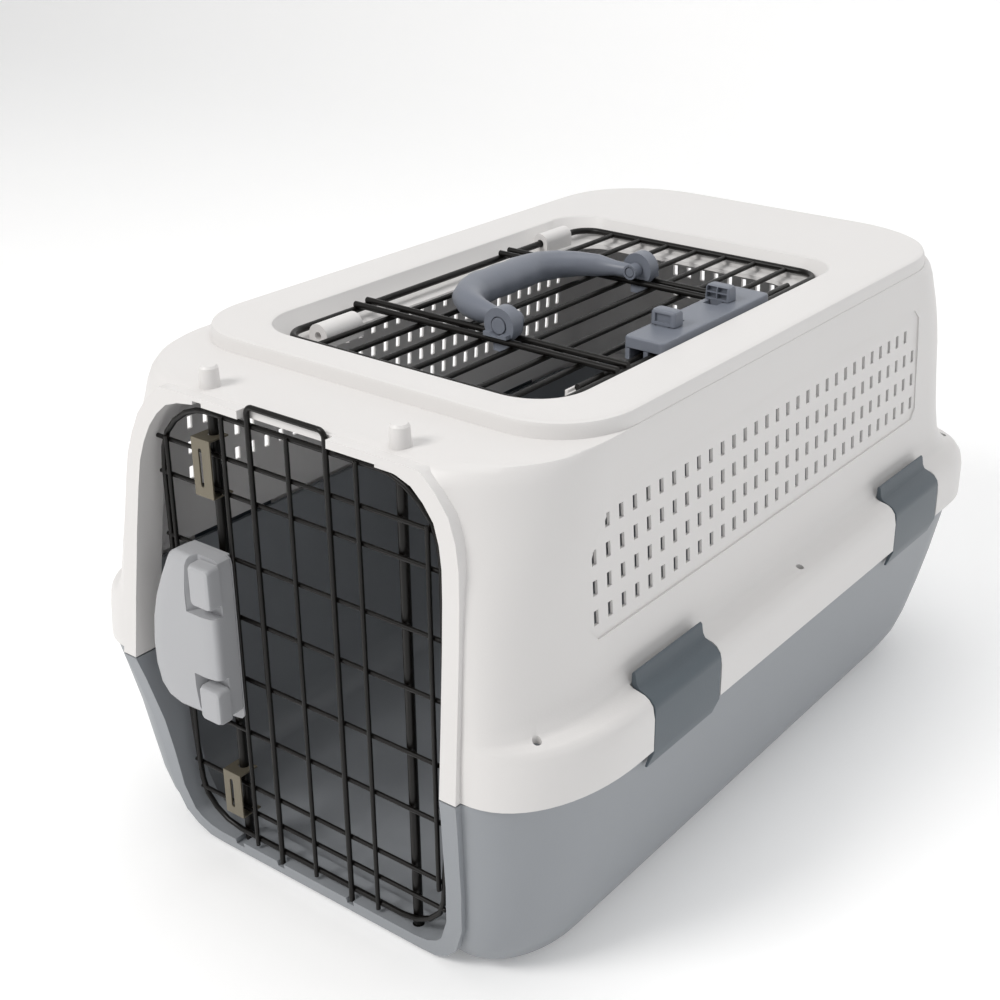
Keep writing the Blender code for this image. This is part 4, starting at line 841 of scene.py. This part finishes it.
for key, y, s in (("front", PIVOT_Y[0], 1), ("rear", PIVOT_Y[1], -1)):
    w = 0.0042
    ring = hub(0.0096, y - w, y + w)
    f0, f1 = sorted((y - s * 0.0078, y + s * 0.0041))
    foot = box(PIVOT_X - 0.0075, PIVOT_X + 0.0075, f0, f1, PAIR_Z + PAIR_R + GAP, PAIR_Z + PAIR_R + 0.0026)
    stem = box(PIVOT_X - 0.0050, PIVOT_X + 0.0050, y - 0.0025, y + 0.0025, 0.2640, PAIR_Z + 0.0040)
    o = union(f"handle_bracket_{key}", [ring, foot, stem], HANDLE)
    c0, c1 = sorted((y - s * (w + 0.0060), y - s * (w - 0.0022)))
    boolean(o, [hub(0.0050, c0, c1)], "DIFFERENCE")
    boolean(o, [hub(0.0031, y - 0.01, y + 0.01)], "DIFFERENCE")
    # sits over the two cross wires without touching them
    boolean(o, [box(PIVOT_X - 0.02, PIVOT_X + 0.02, y + t * 0.0102 - 0.008, y + t * 0.0102 + 0.008 - 0.0004,
                    0.26, PAIR_Z + PAIR_R + GAP) for t in (-1, 1)], "DIFFERENCE")
    tidy(o, HANDLE)
    a, b = sorted((y - s * (w - 0.0006), y + s * 0.0118))
    shaft = hub(0.0027, a, b)
    h0, h1 = sorted((y - s * (w - 0.0018), y - s * (w + 0.0006)))
    union(f"handle_pin_{key}", [shaft, hub(0.0044, h0, h1)], HANDLE)

# ---------------------------------------------------------------- finish, ride and replace
BEVEL_ANGLE, CREASE_ANGLE = math.radians(38), math.radians(34.0)


def soften(o, bevel):
    """Smooth shading with creases kept, and a small radius on the hard edges."""
    if bevel:
        mod = o.modifiers.new("edge", "BEVEL")
        mod.width = bevel
        mod.segments = 2
        mod.limit_method = "ANGLE"
        mod.angle_limit = BEVEL_ANGLE
        mod.use_clamp_overlap = True
        dg = bpy.context.evaluated_depsgraph_get()
        dg.update()
        me = bpy.data.meshes.new_from_object(o.evaluated_get(dg))
        o.modifiers.clear()
        old = o.data
        o.data = me
        bpy.data.meshes.remove(old)
    bm = bmesh.new()
    bm.from_mesh(o.data)
    for f in bm.faces:
        f.smooth = True
    for e in bm.edges:
        e.smooth = not (len(e.link_faces) == 2 and e.calc_face_angle(0.0) > CREASE_ANGLE)
    bm.to_mesh(o.data)
    bm.free()
    mod = o.modifiers.new("normals", "WEIGHTED_NORMAL")
    mod.keep_sharp = True
    mod.weight = 80


BODIES = {n: b for b, names in frame["record"]["behaviour"]["bodies"].items() for n in names}
BEVELS = {
    "top_shell": 0.00035, "bottom_shell": 0.00035, "clip": 0.0005, "front_latch_cover": 0.0007,
    "front_latch_back_plate": 0.0003, "front_latch_button": 0.0004, "front_guide_plate": 0.00025,
    "top_latch_cover": 0.0005, "top_latch_base": 0.0003, "top_latch_tab": 0.0003, "handle_grip": 0.0004,
    "handle_bracket": 0.0004, "handle_pin": 0.0004,
}
for node in BODIES:
    made = [x for x in bpy.data.objects if x.type == "MESH" and x is not frame["nodes"][node]
            and x.name.split(".")[0] == node]
    if not made:
        continue
    o = made[0]
    o.name = "look_" + node
    width = next((w for k, w in BEVELS.items() if node.startswith(k)), 0.0)
    soften(o, width)
    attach(o, BODIES[node])
    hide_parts(node)

# ---------------------------------------------------------------- studio
def floor():
    """Seamless white sweep under and behind the carrier."""
    bm = bmesh.new()
    prof = [(-1.6, 0.0), (1.2, 0.0)] + [(1.2 + 0.5 * math.sin(a), 0.5 - 0.5 * math.cos(a))
                                        for a in [math.radians(9 * k) for k in range(1, 11)]] + [(1.7, 2.6)]
    rows = [[bm.verts.new((x, y, z - 0.0002)) for y, z in prof] for x in (-3.0, 3.0)]
    for i in range(len(prof) - 1):
        bm.faces.new((rows[0][i], rows[1][i], rows[1][i + 1], rows[0][i + 1]))
    me = bpy.data.meshes.new("sweep")
    bm.to_mesh(me)
    bm.free()
    o = bpy.data.objects.new("sweep", me)
    bpy.context.scene.collection.objects.link(o)
    for p in me.polygons:
        p.use_smooth = True
    m = node_material("sweep_paper", (0.93, 0.93, 0.93), 0.9, grain=0.0, tint=0.005)
    b = m.node_tree.nodes["Principled BSDF"]
    b.inputs["Emission Color"].default_value = (1, 1, 1, 1)
    b.inputs["Emission Strength"].default_value = 0.14
    me.materials.append(m)


def lamp(name, pos, target, size, power, colour=(1, 1, 1)):
    data = bpy.data.lights.new(name, "AREA")
    data.shape = "RECTANGLE"
    data.size, data.size_y = size
    data.energy = power
    data.color = colour
    o = bpy.data.objects.new(name, data)
    o.location = pos
    o.rotation_euler = (Vector(target) - Vector(pos)).to_track_quat("-Z", "Y").to_euler()
    bpy.context.scene.collection.objects.link(o)


floor()
lamp("key", (-0.6, -1.7, 1.7), (0, 0, 0.12), (0.8, 0.8), 27, (1.0, 0.985, 0.965))
lamp("side", (1.9, -0.2, 1.0), (0, 0, 0.12), (1.2, 1.2), 3.5, (0.93, 0.96, 1.0))
lamp("over", (0.0, 0.2, 2.2), (0, 0, 0), (1.4, 1.4), 12)
world = bpy.data.worlds.new("studio")
world.use_nodes = True
bg = world.node_tree.nodes["Background"]
bg.inputs["Color"].default_value = (1, 1, 1, 1)
bg.inputs["Strength"].default_value = 0.48
bpy.context.scene.world = world

cam = bpy.data.cameras.new("camera")
cam.sensor_width = 36.0
cam.lens = 55.69
cam.shift_x = -0.0714
cam.shift_y = -0.0334
cam_o = bpy.data.objects.new("camera", cam)
az, el, roll = math.radians(35.75), math.radians(23.78), 0.0093
d = Vector((-math.sin(az) * math.cos(el), math.cos(az) * math.cos(el), -math.sin(el)))
r = Vector((math.cos(az), math.sin(az), 0.0))
u = r.cross(d)
right = r * math.cos(roll) + u * math.sin(roll)
up = right.cross(d)
m = Matrix((right, up, -d)).transposed().to_4x4()
m.translation = Vector((0.4868, -0.6784, 0.5332))
cam_o.matrix_world = m
bpy.context.scene.collection.objects.link(cam_o)
bpy.context.scene.camera = cam_o
bpy.context.scene.view_settings.view_transform = "Standard"
